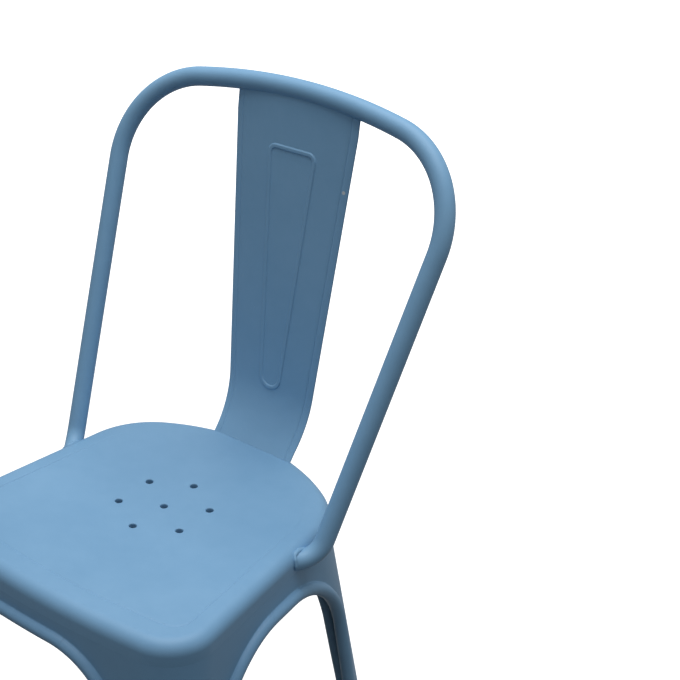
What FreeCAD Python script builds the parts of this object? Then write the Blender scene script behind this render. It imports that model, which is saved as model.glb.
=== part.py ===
import FreeCAD
import Part
import math
import os
import Sketcher
from FreeCAD import Matrix, Placement, Rotation, Vector

# A stacking bistro chair of painted sheet steel. The frame's origin is on the floor under the
# middle of the chair, +Z is up, the chair faces -Y and +X is on the left of the person who sits.

SIZES = {
    # Seat
    "seat_height": 440.0,
    "seat_dish_depth": 6.5,
    "seat_dish_radius": 138.0,
    "seat_dish_centre": -15.0,
    "seat_roll_radius": 14.0,
    "seat_hem": 10.0,
    "sheet_thickness": 1.2,
    "seat_front_reach": 195.5,
    "seat_front_curve": 1000.0,
    "seat_front_corner": 50.0,
    "seat_rear_reach": 162.0,
    "seat_rear_curve": 205.0,
    "seat_rear_corner": 96.0,
    "seat_half_width": 161.2,
    "seat_side_toe": 0.107,
    "drain_hole_diameter": 8.0,
    "drain_ring_radius": 48.0,
    "drain_ring_count": 6,
    # Legs and aprons
    "foot_front_reach": 211.0,
    "foot_rear_reach": 167.4,
    "foot_front_half_width": 215.4,
    "foot_rear_half_width": 206.0,
    "foot_corner_radius": 13.0,
    "foot_flange_width": 42.0,
    "rear_foot_flange_width": 24.0,
    "front_arch_drop": 43.3,
    "front_arch_crown_half": 30.0,
    "front_arch_radius": 80.0,
    "rear_arch_drop": 100.0,
    "rear_arch_crown_half": 10.0,
    "rear_arch_radius": 110.0,
    "side_arch_drop": 49.0,
    "side_arch_front": -28.0,
    "side_arch_rear": 3.0,
    "side_arch_front_radius": 110.0,
    "side_arch_rear_radius": 93.0,
    "bead_diameter": 14.0,
    "apron_half_length": 45.0,
    "side_seam": 18.0,
    # Back hoop
    "tube_diameter": 20.0,
    "tube_wall": 1.5,
    "hoop_set_back": 43.3,
    "hoop_lean": 21.06,
    "hoop_side_reach": 8.2,
    "hoop_splay": 5.76,
    "hoop_rise": 424.4,
    "hoop_top_curve": 646.7,
    "hoop_corner_radius": 95.8,
    "hoop_bow": 12.4,
    "hoop_bend_drop": 8.0,
    "hoop_bend_radius": 30.0,
    "hoop_end_inset": 8.2,
    "hoop_end_lead": 24.3,
    # Back splat
    "splat_foot_inset": 21.6,
    "splat_foot_angle": 38.0,
    "splat_foot_rise": 16.5,
    "splat_bend_radius": 103.0,
    "splat_to_hoop": 6.2,
    "splat_half_width": 51.1,
    "splat_side_taper": 0.0622,
    "splat_hem_width": 8.0,
    "welt_width": 5.5,
    "welt_height": 1.2,
    "welt_top": 335.0,
    "welt_bottom": 66.0,
    "welt_top_half_width": 30.5,
    "welt_top_corner": 10.0,
    "welt_bottom_corner": 15.0,
    # Cross brace
    "brace_drop": 72.0,
    "brace_width": 25.0,
    "brace_thickness": 3.0,
    "brace_centre": -17.0,
    "brace_angle": 45.0,
    "brace_bolt_diameter": 8.0,
    "brace_bolt_clearance": 0.4,
    "brace_bolt_head_flats": 13.0,
    "brace_bolt_head_height": 5.3,
    "brace_bolt_spare": 3.0,
    "washer_diameter": 16.0,
    "washer_thickness": 1.6,
    "nut_height": 6.5,
    # Stacking buffers
    "buffer_radius": 9.0,
    "buffer_height": 8.0,
    "buffer_stem_radius": 3.5,
    "buffer_barb_radius": 5.0,
    "buffer_barb_height": 3.0,
    "buffer_tip_share": 0.8,
    "buffer_barb_tip_share": 0.6,
    "buffer_spacing": 115.0,
    # Rubber feet
    "foot_sole_thickness": 6.0,
    "foot_sole_margin": 6.4,
    "foot_sole_overhang": 2.0,
    "foot_sole_width": 16.0,
    "foot_sole_corner": 16.0,
    "foot_key_height": 14.0,
    "foot_key_inset": 3.8,
    "foot_key_gap": 2.0,
    "foot_key_width": 5.8,
    "foot_key_corner_share": 0.58,
}

doc = FreeCAD.newDocument("bistro_chair")
sheet = doc.addObject("Spreadsheet::Sheet", "Sizes")
for row, (alias, value) in enumerate(SIZES.items(), start=1):
    sheet.set(f"A{row}", alias)
    sheet.set(f"B{row}", str(value))
    sheet.setAlias(f"B{row}", alias)
doc.recompute()


def size(alias):
    """The value of one cell of the sheet."""
    return float(sheet.get(alias))


sheet_metal = size("sheet_thickness")
seat_height = size("seat_height")
drain_level = seat_height - size("seat_dish_depth")
skin_top = seat_height - size("seat_roll_radius") - size("seat_hem")
brace_height = seat_height - size("brace_drop")
bead_radius = size("bead_diameter") / 2
hoop_half_width = size("seat_half_width") + size("hoop_side_reach")
FAR = 2 * seat_height
FOOT_OVERRUN = 0.05
STRAIGHT = 1e-4
HALVINGS = 50
ROUND_STEPS = 4
EDGE_NAMES = (
    "front",
    "front_right_corner",
    "right",
    "rear_right_corner",
    "rear",
    "rear_left_corner",
    "left",
    "front_left_corner",
)
# The stretches of skin that each arch is cut in: a side arch reaches into the rear corner.
ARCH_EDGES = {
    "front": ("front",),
    "rear": ("rear",),
    "right": ("right", "rear_right_corner"),
    "left": ("rear_left_corner", "left"),
}


def flipped(point):
    """The same point on the other side of the chair."""
    return Vector(-point.x, point.y, point.z)


def arc_about(centre, radius, first, last):
    """The arc of a level circle from the direction of one point to that of another."""
    toward_first = (first - centre).normalize()
    toward_last = (last - centre).normalize()
    toward_middle = (toward_first + toward_last).normalize()
    ends = [centre + way * radius for way in (toward_first, toward_middle, toward_last)]
    return Part.Arc(*ends).toShape()


class Outline:
    """A level outline: front and rear edges, two straight sides and four round corners."""

    def __init__(self, level, side_point, side_way, front, rear):
        self.level = level
        self.side_way = side_way
        self.normal = Vector(side_way.y, -side_way.x, 0)
        self.side_point = side_point
        self.ends = {"front": front, "rear": rear}

    def corner_centre(self, name):
        """Centre of the right corner, which touches the end's edge and the side."""
        end = self.ends[name]
        sign = 1 if name == "rear" else -1
        start = self.side_point - self.normal * end["corner"]
        if end["curve"] is None:
            along = (sign * (end["reach"] - end["corner"]) - start.y) / self.side_way.y
            return start + self.side_way * along
        middle = self.end_centre(name)
        gap = start - middle
        half = gap.dot(self.side_way)
        rest = gap.dot(gap) - (end["curve"] - end["corner"]) ** 2
        return start + self.side_way * (-half + sign * math.sqrt(half * half - rest))

    def end_centre(self, name):
        """Centre of the front's or rear's gentle curve."""
        end = self.ends[name]
        sign = 1 if name == "rear" else -1
        return Vector(0, sign * (end["reach"] - end["curve"]), self.level)

    def corner_points(self, name, inset):
        """Where the right corner meets the end's edge and the side."""
        end = self.ends[name]
        sign = 1 if name == "rear" else -1
        centre = self.corner_centre(name)
        if end["curve"] is None:
            way = Vector(0, sign, 0)
        else:
            way = (centre - self.end_centre(name)).normalize()
        radius = end["corner"] - inset
        return centre + way * radius, centre + self.normal * radius

    def edges(self, inset=0.0):
        """The eight edges, anticlockwise from the front, each moved in by the inset."""
        front_end, front_side = self.corner_points("front", inset)
        rear_end, rear_side = self.corner_points("rear", inset)
        front_corner = self.corner_centre("front")
        rear_corner = self.corner_centre("rear")
        front_radius = self.ends["front"]["corner"] - inset
        rear_radius = self.ends["rear"]["corner"] - inset
        return {
            "front": self.end_edge("front", flipped(front_end), front_end, inset),
            "front_right_corner": arc_about(front_corner, front_radius, front_end, front_side),
            "right": Part.makeLine(front_side, rear_side),
            "rear_right_corner": arc_about(rear_corner, rear_radius, rear_side, rear_end),
            "rear": self.end_edge("rear", rear_end, flipped(rear_end), inset),
            "rear_left_corner": arc_about(
                flipped(rear_corner), rear_radius, flipped(rear_end), flipped(rear_side)
            ),
            "left": Part.makeLine(flipped(rear_side), flipped(front_side)),
            "front_left_corner": arc_about(
                flipped(front_corner), front_radius, flipped(front_side), flipped(front_end)
            ),
        }

    def end_edge(self, name, first, last, inset):
        """The front or rear edge between the corners."""
        end = self.ends[name]
        if end["curve"] is None:
            return Part.makeLine(first, last)
        return arc_about(self.end_centre(name), end["curve"] - inset, first, last)

    def wire(self, inset=0.0):
        """The closed outline, moved in by the inset."""
        edges = self.edges(inset)
        return Part.Wire([edges[name] for name in EDGE_NAMES])


def seat_outline():
    """The seat's rolled edge seen from above, which is also the top of the legs' skin."""
    toe = size("seat_side_toe")
    return Outline(
        skin_top,
        Vector(size("seat_half_width"), 0, skin_top),
        Vector(-toe, 1, 0).normalize(),
        {
            "reach": size("seat_front_reach"),
            "curve": size("seat_front_curve"),
            "corner": size("seat_front_corner"),
        },
        {
            "reach": size("seat_rear_reach"),
            "curve": size("seat_rear_curve"),
            "corner": size("seat_rear_corner"),
        },
    )


def floor_outline():
    """The quadrilateral through the outer corners of the four feet."""
    front = Vector(size("foot_front_half_width"), -size("foot_front_reach"), 0)
    rear = Vector(size("foot_rear_half_width"), size("foot_rear_reach"), 0)
    corner = size("foot_corner_radius")
    return Outline(
        0.0,
        front,
        (rear - front).normalize(),
        {"reach": size("foot_front_reach"), "curve": None, "corner": corner},
        {"reach": size("foot_rear_reach"), "curve": None, "corner": corner},
    )


top_outline = seat_outline()
bottom_outline = floor_outline()
top_edges = top_outline.edges()
bottom_edges = bottom_outline.edges()


def skin_solid(inset):
    """The space inside the four legs, with straight sides from the floor to the seat."""
    wires = [bottom_outline.wire(inset), top_outline.wire(inset)]
    return Part.makeLoft(wires, True, True)


class Arch:
    """One arch between two legs, drawn on the skin's flat face and seen square on."""

    def __init__(self, face, crown, ends):
        self.face = face
        self.crown = crown
        self.ends = ends

    def leg(self, side):
        """Where the leg's edge touches the round of the arch, and the round's centre."""
        end = self.ends[side]
        sign = 1 if side == "far" else -1
        centre = Vector(end["centre"], self.crown - end["radius"], 0)
        foot = Vector(end["foot"], 0, 0)
        gap = foot - centre
        reach = math.hypot(gap.x, gap.y)
        swing = math.acos(end["radius"] / reach)
        angle = math.atan2(gap.y, gap.x) + sign * swing
        way = Vector(math.cos(angle), math.sin(angle), 0)
        return foot, centre + way * end["radius"], centre, angle

    def stations(self):
        """Places along the edge and the way it runs there, from one foot to the other."""
        near_foot, near_touch, near_centre, near_angle = self.leg("near")
        far_foot, far_touch, far_centre, far_angle = self.leg("far")
        near_angle = near_angle % (2 * math.pi)
        near_low = near_foot + (near_foot - near_touch) * FOOT_OVERRUN
        far_low = far_foot + (far_foot - far_touch) * FOOT_OVERRUN
        up = (near_touch - near_foot).normalize()
        down = (far_foot - far_touch).normalize()
        crown_middle = Vector((near_centre.x + far_centre.x) / 2, self.crown, 0)
        path = [(near_low, up), ((near_low + near_touch) * 0.5, up)]
        path += self.round_stations(near_centre, near_angle, math.pi / 2, "near")
        path += [(crown_middle, Vector(1, 0, 0))]
        path += self.round_stations(far_centre, math.pi / 2, far_angle, "far")
        path += [((far_low + far_touch) * 0.5, down), (far_low, down)]
        return path

    def round_stations(self, centre, first, last, side):
        """Places on one round of the arch, ends included."""
        radius = self.ends[side]["radius"]
        places = []
        for step in range(ROUND_STEPS + 1):
            turn = first + (last - first) * step / ROUND_STEPS
            out = Vector(math.cos(turn), math.sin(turn), 0)
            places.append((centre + out * radius, Vector(out.y, -out.x, 0)))
        return places

    def opening(self):
        """The face of the opening, in the plane of the drawing."""
        near_foot, near_touch, near_centre, near_angle = self.leg("near")
        far_foot, far_touch, far_centre, far_angle = self.leg("far")
        near_low = near_foot + (near_foot - near_touch) * FOOT_OVERRUN
        far_low = far_foot + (far_foot - far_touch) * FOOT_OVERRUN
        near_top = Vector(near_centre.x, self.crown, 0)
        far_top = Vector(far_centre.x, self.crown, 0)
        edges = [
            Part.makeLine(near_low, near_touch),
            arc_about(near_centre, self.ends["near"]["radius"], near_touch, near_top),
            Part.makeLine(near_top, far_top),
            arc_about(far_centre, self.ends["far"]["radius"], far_top, far_touch),
            Part.makeLine(far_touch, far_low),
            Part.makeLine(far_low, near_low),
        ]
        return Part.Face(Part.Wire(edges))


def front_or_rear_arch(face, foot_half_width, flange):
    """The arch across the front or the rear, the same on both sides of the middle."""
    half = {
        "centre": size(f"{face}_arch_crown_half"),
        "radius": size(f"{face}_arch_radius"),
        "foot": foot_half_width - flange,
    }
    other = dict(half, centre=-half["centre"], foot=-half["foot"])
    crown = seat_height - size(f"{face}_arch_drop")
    return Arch(face, crown, {"near": other, "far": half})


def side_arch(face):
    """The arch between a front leg and a rear leg."""
    near = {
        "centre": size("side_arch_front"),
        "radius": size("side_arch_front_radius"),
        "foot": size("foot_flange_width") - size("foot_front_reach"),
    }
    far = {
        "centre": size("side_arch_rear"),
        "radius": size("side_arch_rear_radius"),
        "foot": size("foot_rear_reach") - size("foot_flange_width"),
    }
    crown = seat_height - size("side_arch_drop")
    return Arch(face, crown, {"near": near, "far": far})


arches = [
    front_or_rear_arch("front", size("foot_front_half_width"), size("foot_flange_width")),
    front_or_rear_arch("rear", size("foot_rear_half_width"), size("rear_foot_flange_width")),
    side_arch("right"),
    side_arch("left"),
]


def opening_cutter(arch):
    """The block that an arch's opening takes out of the skin."""
    face = arch.opening()
    if arch.face in ("front", "rear"):
        upright = Matrix(1, 0, 0, 0, 0, 0, -1, 0, 0, 1, 0, 0)
        depth = Vector(0, -FAR if arch.face == "front" else FAR, 0)
    else:
        upright = Matrix(0, 0, 1, 0, 1, 0, 0, 0, 0, 1, 0, 0)
        depth = Vector(FAR if arch.face == "right" else -FAR, 0, 0)
    return face.transformGeometry(upright).extrude(depth)


def point_along(edge, share):
    """The point at a share of an edge's run."""
    span = edge.LastParameter - edge.FirstParameter
    return edge.valueAt(edge.FirstParameter + share * span)


def point_on_skin(arch, drawn):
    """The point of the skin's outer face that is seen at a point of the drawing."""
    names = ARCH_EDGES[arch.face]
    across = 0 if arch.face in ("front", "rear") else 1
    share_down = (skin_top - drawn.y) / skin_top

    def skin(share):
        number = min(int(share), len(names) - 1)
        upper = point_along(top_edges[names[number]], share - number)
        lower = point_along(bottom_edges[names[number]], share - number)
        return upper + (lower - upper) * share_down

    low, high = 0.0, float(len(names))
    rising = skin(high)[across] > skin(low)[across]
    for _ in range(HALVINGS):
        middle = (low + high) / 2
        if (skin(middle)[across] < drawn.x) == rising:
            low = middle
        else:
            high = middle
    return skin(low)


def round_span(start, control, end):
    """The arc from start to end that leaves towards the control point, or a straight line."""
    middle = (start + end) * 0.5
    lift = control - middle
    rise = 2 * lift.Length / (end - start).Length
    if rise < STRAIGHT:
        return Part.makeLine(start, end)
    share = math.tan(math.atan(rise) / 2) / rise
    return Part.Arc(start, middle + lift * share, end).toShape()


def smooth_wire(points, tangents):
    """A wire of arcs through the points, two for each span, without kinks."""
    edges = []
    for start, end, leaving, arriving in zip(points, points[1:], tangents, tangents[1:]):
        chord = end - start
        along = chord.dot(leaving + arriving)
        spread = 2 * (1 - leaving.dot(arriving))
        if spread < STRAIGHT * STRAIGHT:
            reach = chord.dot(chord) / (2 * along)
        else:
            reach = (math.sqrt(along * along + spread * chord.dot(chord)) - along) / spread
        leave = start + leaving * reach
        arrive = end - arriving * reach
        joint = (leave + arrive) * 0.5
        edges.append(round_span(start, leave, joint))
        edges.append(round_span(joint, arrive, end))
    return Part.Wire(edges)


def tube_along(path, radius):
    """A round solid of one radius along a wire."""
    start = path.OrderedEdges[0].valueAt(path.OrderedEdges[0].FirstParameter)
    way = path.OrderedEdges[0].tangentAt(path.OrderedEdges[0].FirstParameter)
    ring = Part.Wire([Part.makeCircle(radius, start, way)])
    return path.makePipeShell([ring], True, False)


def rolled_edge_path(arch):
    """The middle of the rolled edge along an arch and down its two legs."""
    points = []
    tangents = []
    for place, way in arch.stations():
        ahead = point_on_skin(arch, place + way)
        behind = point_on_skin(arch, place - way)
        points.append(point_on_skin(arch, place))
        tangents.append((ahead - behind).normalize())
    return smooth_wire(points, tangents)


def between(low, high):
    """A box between two corners."""
    return Part.makeBox(high.x - low.x, high.y - low.y, high.z - low.z, low)


def under_frame():
    """The pressed skin of legs and aprons in one piece, before it is parted at its seams."""
    skin = skin_solid(0.0).cut(skin_solid(sheet_metal))
    skin = skin.cut([opening_cutter(arch) for arch in arches])
    paths = [rolled_edge_path(arch) for arch in arches]
    hollows = [tube_along(path, bead_radius - sheet_metal) for path in paths]
    return skin.fuse([tube_along(path, bead_radius) for path in paths]), hollows


def add_feature(name, shape):
    """A sub-part whose shape is worked out here."""
    feature = doc.addObject("Part::Feature", name)
    feature.Label = name
    feature.Shape = shape
    feature.Placement = Placement()
    return feature


def add_legs_and_aprons():
    """Four corner pressings and the two short aprons between them."""
    frame, hollows = under_frame()
    sole = size("foot_sole_thickness")
    apron = size("apron_half_length")
    seam = size("side_seam")
    spans = {
        "front_right_leg": ((apron, -FAR), (FAR, seam)),
        "front_left_leg": ((-FAR, -FAR), (-apron, seam)),
        "rear_right_leg": ((apron, seam), (FAR, FAR)),
        "rear_left_leg": ((-FAR, seam), (-apron, FAR)),
        "front_apron": ((-apron, -FAR), (apron, 0)),
        "rear_apron": ((-apron, 0), (apron, FAR)),
    }
    pieces = []
    for name, (low, high) in spans.items():
        block = between(Vector(*low, sole), Vector(*high, skin_top))
        piece = frame.common(block)
        for hollow in hollows:
            if hollow.BoundBox.intersect(piece.BoundBox):
                piece = piece.cut(hollow)
        pieces.append(add_feature(name, piece))
    return pieces


def origin_plane(body, role):
    """One of a body's own origin planes."""
    return next(plane for plane in body.Origin.OriginFeatures if plane.Role == role)


def add_sketch(body, name, plane, offset=0.0):
    """A sketch on one of the body's origin planes, lifted off it by the offset."""
    sketch = body.newObject("Sketcher::SketchObject", name)
    sketch.AttachmentSupport = [(origin_plane(body, plane), "")]
    sketch.MapMode = "FlatFace"
    sketch.AttachmentOffset = Placement(Vector(0, 0, offset), Rotation())
    return sketch


def bind(item, **rules):
    """Tie properties of a document object to the sheet."""
    for name, rule in rules.items():
        item.setExpression(name, rule)
    return item


def flat_face(shape, level, way):
    """Name of the flat face at a height that looks up (1) or down (-1)."""
    for number, face in enumerate(shape.Faces, start=1):
        flat = isinstance(face.Surface, Part.Plane)
        if flat and abs(face.CenterOfMass.z - level) < sheet_metal / 10:
            if face.normalAt(0, 0).z * way > 0:
                return f"Face{number}"
    raise ValueError(f"no flat face at {level}")


def draw_outline(sketch, edges):
    """Draws a closed chain of edges in a sketch that lies level, and joins their ends."""
    for edge in edges:
        level = edge.CenterOfMass.z
        flat = edge.translated(Vector(0, 0, -level))
        sketch.addGeometry(flat.Curve.trim(*flat.ParameterRange), False)
    for number in range(len(edges)):
        following = (number + 1) % len(edges)
        sketch.addConstraint(Sketcher.Constraint("Coincident", number, 2, following, 1))


def add_seat_block(name, inset):
    """A filled seat: rolled rim, short hem and dished top, all moved in by an inset."""
    body = doc.addObject("PartDesign::Body", name)
    outline = add_sketch(body, f"{name}_outline", "XY_Plane", skin_top)
    drawn = top_outline.edges(inset)
    draw_outline(outline, [drawn[side] for side in EDGE_NAMES])
    block = body.newObject("PartDesign::Pad", f"{name}_block")
    block.Profile = outline
    less = f" - {inset / sheet_metal:g} * Sizes.sheet_thickness"
    bind(block, Length=f"Sizes.seat_roll_radius + Sizes.seat_hem{less}")
    doc.recompute()
    roll = body.newObject("PartDesign::Fillet", f"{name}_roll")
    roll.Base = (block, [flat_face(block.Shape, seat_height - inset, 1)])
    bind(roll, Radius=f"Sizes.seat_roll_radius{less}")
    dish = body.newObject("PartDesign::SubtractiveSphere", f"{name}_dish")
    bow = "(Sizes.seat_dish_radius^2 + Sizes.seat_dish_depth^2) / (2 * Sizes.seat_dish_depth)"
    bind(dish, Radius=f"{bow}{less.replace('-', '+')}")
    dish.AttachmentSupport = [(origin_plane(body, "XY_Plane"), "")]
    dish.MapMode = "FlatFace"
    dish.setExpression(".AttachmentOffset.Base.y", "Sizes.seat_dish_centre")
    rise = f"Sizes.seat_height - Sizes.seat_dish_depth + {bow}"
    dish.setExpression(".AttachmentOffset.Base.z", rise)
    body.Tip = dish
    return body


def add_seat():
    """Pressed seat pan: one sheet with a rolled rim, a dished top and a ring of drain holes."""
    body = add_seat_block("seat_pan", 0.0)
    body.Label = "seat_pan"
    inside = add_seat_block("seat_inside", sheet_metal)
    doc.recompute()
    hollow = body.newObject("PartDesign::Boolean", "SeatSheet")
    hollow.Type = "Cut"
    hollow.addObject(inside)
    doc.recompute()
    drains = add_sketch(body, "DrainHoles", "XY_Plane", seat_height)
    radius = size("drain_hole_diameter") / 2
    rule = "Sizes.drain_hole_diameter / 2"
    add_circle(drains, Vector(0, 0, 0), radius, rule)
    count = int(size("drain_ring_count"))
    for number in range(count):
        turn = math.radians(360 / count) * (number + 0.5)
        place = Vector(math.cos(turn), math.sin(turn), 0) * size("drain_ring_radius")
        add_circle(drains, place, radius, rule)
    pocket = body.newObject("PartDesign::Pocket", "SeatDrains")
    pocket.Profile = drains
    bind(pocket, Length="Sizes.seat_dish_depth + 2 * Sizes.sheet_thickness")
    body.Tip = pocket
    return body


def add_circle(sketch, middle, radius, rule):
    """A circle in a sketch with its radius tied to the sheet."""
    number = sketch.addGeometry(Part.Circle(middle, Vector(0, 0, 1), radius), False)
    constraint = sketch.addConstraint(Sketcher.Constraint("Radius", number, radius))
    sketch.setExpression(f"Constraints[{constraint}]", rule)


def solid_seat():
    """The seat's outside as a solid block, with which other pieces are fitted to it."""
    wire = Part.Wire([top_edges[name] for name in EDGE_NAMES])
    block = Part.Face(wire).extrude(Vector(0, 0, seat_height - skin_top))
    crest = [edge for edge in block.Edges if edge.BoundBox.ZMin > seat_height - sheet_metal]
    return block.makeFillet(size("seat_roll_radius"), crest)


def bend(before, corner, after, radius):
    """Start, middle and end of the round that takes a path past a corner."""
    back = (before - corner).normalize()
    ahead = (after - corner).normalize()
    half = math.acos(back.dot(ahead)) / 2
    inward = (back + ahead).normalize()
    reach = radius / math.tan(half)
    centre = corner + inward * (radius / math.sin(half))
    return corner + back * reach, centre - inward * radius, corner + ahead * reach


def hoop_path(end_wall=0.0):
    """Centre line of the back hoop from end to end, both shortened by the wall of an end."""
    lean = math.radians(size("hoop_lean"))
    splay = math.radians(size("hoop_splay"))
    top_radius = size("hoop_top_curve")
    corner_radius = size("hoop_corner_radius")
    origin = Vector(0, size("hoop_set_back"), drain_level)
    up = Vector(0, math.sin(lean), math.cos(lean))
    back = Vector(0, math.cos(lean), -math.sin(lean))
    across = Vector(1, 0, 0)
    side_way = across * math.sin(splay) + up * math.cos(splay)
    side_low = origin + across * hoop_half_width
    # The flat hoop first: the corner round touches the straight side and the top's gentle curve.
    top_centre = size("hoop_rise") - top_radius
    start = hoop_half_width - corner_radius / math.cos(splay)
    slope = math.tan(splay)
    squared = 1 + slope * slope
    linear = 2 * (start * slope - top_centre)
    constant = start * start + top_centre ** 2 - (top_radius - corner_radius) ** 2
    rise = (-linear + math.sqrt(linear * linear - 4 * squared * constant)) / (2 * squared)
    aside = start + slope * rise
    tilt = math.atan2(aside, rise - top_centre)
    touch = Vector(top_radius * math.sin(tilt), top_centre + top_radius * math.cos(tilt), 0)
    side_share = (math.pi / 2 + splay - tilt) / 2
    tangent_reach = corner_radius * math.tan(side_share)
    corner = touch + Vector(math.cos(tilt), -math.sin(tilt), 0) * tangent_reach
    corner_point = origin + across * corner.x + up * corner.y
    # The top bows back: its slope there is what brings the middle back by the bow.
    bow_slope = size("hoop_bow") / (tangent_reach * math.cos(tilt) + touch.x / 2)
    way = across * -math.cos(tilt) + up * math.sin(tilt) + back * (bow_slope * math.cos(tilt))
    side_touch, side_middle, top_touch = bend(
        side_low, corner_point, corner_point + way, corner_radius
    )
    lift = Vector(0, way.y, way.z)
    swing = math.atan2(lift.Length, -way.x)
    crown = Vector(0, top_touch.y, top_touch.z)
    crown += lift.normalize() * (top_touch.x * math.tan(swing / 2))
    elbow = side_low - side_way * (size("hoop_bend_drop") / side_way.z)
    end_half_width = size("seat_half_width") - size("hoop_end_inset")
    end = Vector(end_half_width, size("hoop_set_back") - size("hoop_end_lead"), elbow.z)
    low_touch, low_middle, low_end = bend(corner_point, elbow, end, size("hoop_bend_radius"))
    end += (low_end - end).normalize() * end_wall
    right = [
        Part.makeLine(end, low_end),
        Part.Arc(low_end, low_middle, low_touch).toShape(),
        Part.makeLine(low_touch, side_touch),
        Part.Arc(side_touch, side_middle, top_touch).toShape(),
    ]
    left = [
        Part.Arc(flipped(top_touch), flipped(side_middle), flipped(side_touch)).toShape(),
        Part.makeLine(flipped(side_touch), flipped(low_touch)),
        Part.Arc(flipped(low_touch), flipped(low_middle), flipped(low_end)).toShape(),
        Part.makeLine(flipped(low_end), flipped(end)),
    ]
    top = Part.Arc(top_touch, crown, flipped(top_touch)).toShape()
    return Part.Wire(right + [top] + left), crown


def add_hoop():
    """Bent tube whose two closed ends are coped on to the sides of the seat."""
    path, crown = hoop_path()
    wall = size("tube_wall")
    outside = tube_along(path, size("tube_diameter") / 2)
    inside = tube_along(hoop_path(wall)[0], size("tube_diameter") / 2 - wall)
    tube = outside.cut(inside).cut([solid_seat(), skin_solid(0.0)])
    tube = max(tube.Solids, key=lambda solid: solid.Volume)
    return add_feature("back_hoop", tube), outside, crown


def splat_side(offset, crown, top):
    """Side view of the splat from foot to top, moved back from the front face by an offset."""
    angle = math.radians(size("splat_foot_angle"))
    radius = size("splat_bend_radius")
    foot = Vector(0, size("seat_rear_reach") - size("splat_foot_inset"), drain_level)
    foot_way = Vector(0, math.sin(angle), math.cos(angle))
    low_touch = foot + foot_way * (size("splat_foot_rise") / foot_way.z)
    centre = low_touch + Vector(0, -math.cos(angle), math.sin(angle)) * radius
    # The upper stretch leans so that it reaches the middle of the hoop.
    gap = crown - centre
    lean = math.atan2(gap.y, gap.z) - math.asin((radius + size("splat_to_hoop")) / gap.Length)
    upper_way = Vector(0, math.sin(lean), math.cos(lean))
    high_touch = centre + Vector(0, math.cos(lean), -math.sin(lean)) * radius
    middle_turn = (angle + lean) / 2
    middle = Vector(0, math.cos(middle_turn), -math.sin(middle_turn))
    low = foot - foot_way * (size("splat_foot_rise") / foot_way.z)
    high = high_touch + upper_way * ((top - high_touch.z) / upper_way.z)
    low_shift = Vector(0, math.cos(angle), -math.sin(angle)) * offset
    high_shift = Vector(0, math.cos(lean), -math.sin(lean)) * offset
    return [
        low + low_shift,
        low_touch + low_shift,
        centre + middle * (radius + offset),
        high_touch + high_shift,
        high + high_shift,
    ]


def splat_layer(front, rear, crown, top):
    """A layer of the splat's side view between two offsets, as wide as the chair."""
    front_low, front_bend, front_middle, front_straight, front_top = splat_side(front, crown, top)
    rear_low, rear_bend, rear_middle, rear_straight, rear_top = splat_side(rear, crown, top)
    edges = [
        Part.makeLine(front_low, front_bend),
        Part.Arc(front_bend, front_middle, front_straight).toShape(),
        Part.makeLine(front_straight, front_top),
        Part.makeLine(front_top, rear_top),
        Part.makeLine(rear_top, rear_straight),
        Part.Arc(rear_straight, rear_middle, rear_bend).toShape(),
        Part.makeLine(rear_bend, rear_low),
        Part.makeLine(rear_low, front_low),
    ]
    face = Part.Face(Part.Wire(edges)).translated(Vector(-hoop_half_width, 0, 0))
    return face.extrude(Vector(2 * hoop_half_width, 0, 0))


def splat_width(inset, top):
    """The splat's tapered outline seen from the front, as deep as the chair."""
    low = drain_level - size("splat_foot_rise")
    edge = []
    for level in (low, top):
        half = size("splat_half_width") + size("splat_side_taper") * (level - drain_level)
        edge.append(Vector(half - inset, 0, level))
    points = edge + [flipped(point) for point in reversed(edge)]
    face = Part.Face(Part.makePolygon(points + [points[0]]))
    return face.extrude(Vector(0, FAR, 0))


def welt_outline(inset):
    """The raised welt's outline: a round foot, straight sides and two round shoulders."""
    shoulder_radius = size("welt_top_corner")
    foot_radius = size("welt_bottom_corner")
    shoulder = Vector(
        size("welt_top_half_width") - shoulder_radius,
        0,
        drain_level + size("welt_top") - shoulder_radius,
    )
    foot = Vector(0, 0, drain_level + size("welt_bottom") + foot_radius)
    gap = shoulder - foot
    turn = math.asin((shoulder_radius - foot_radius) / gap.Length)
    rise = math.atan2(gap.z, gap.x)
    out = rise - math.pi / 2 - turn
    way = Vector(math.cos(out), 0, math.sin(out))
    up = Vector(0, 0, 1)
    shoulder_radius -= inset
    foot_radius -= inset
    side_low = foot + way * foot_radius
    side_high = shoulder + way * shoulder_radius
    top = shoulder + up * shoulder_radius
    shoulder_middle = shoulder + (way + up).normalize() * shoulder_radius
    bottom = foot - up * foot_radius
    edges = [
        Part.Arc(flipped(side_low), bottom, side_low).toShape(),
        Part.makeLine(side_low, side_high),
        Part.Arc(side_high, shoulder_middle, top).toShape(),
        Part.makeLine(top, flipped(top)),
        Part.Arc(flipped(top), flipped(shoulder_middle), flipped(side_high)).toShape(),
        Part.makeLine(flipped(side_high), flipped(side_low)),
    ]
    return Part.Face(Part.Wire(edges)).extrude(Vector(0, FAR, 0))


def add_splat(tube, crown):
    """Tapered sheet with its edges hemmed back flat and a raised welt, from seat to hoop."""
    hem_back = 2 * sheet_metal
    blank = splat_layer(0.0, hem_back, crown, crown.z).common(splat_width(0.0, crown.z))
    past_top = crown.z + sheet_metal
    inner = splat_layer(sheet_metal, 2 * hem_back, crown, past_top)
    inner = inner.common(splat_width(size("splat_hem_width"), past_top))
    welt = splat_layer(-size("welt_height"), sheet_metal / 2, crown, crown.z)
    welt = welt.common(welt_outline(0.0)).cut(welt_outline(size("welt_width")))
    splat = blank.cut(inner).fuse(welt).cut([tube, solid_seat()])
    splat = max(splat.Solids, key=lambda solid: solid.Volume)
    return add_feature("back_splat", splat)


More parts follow.
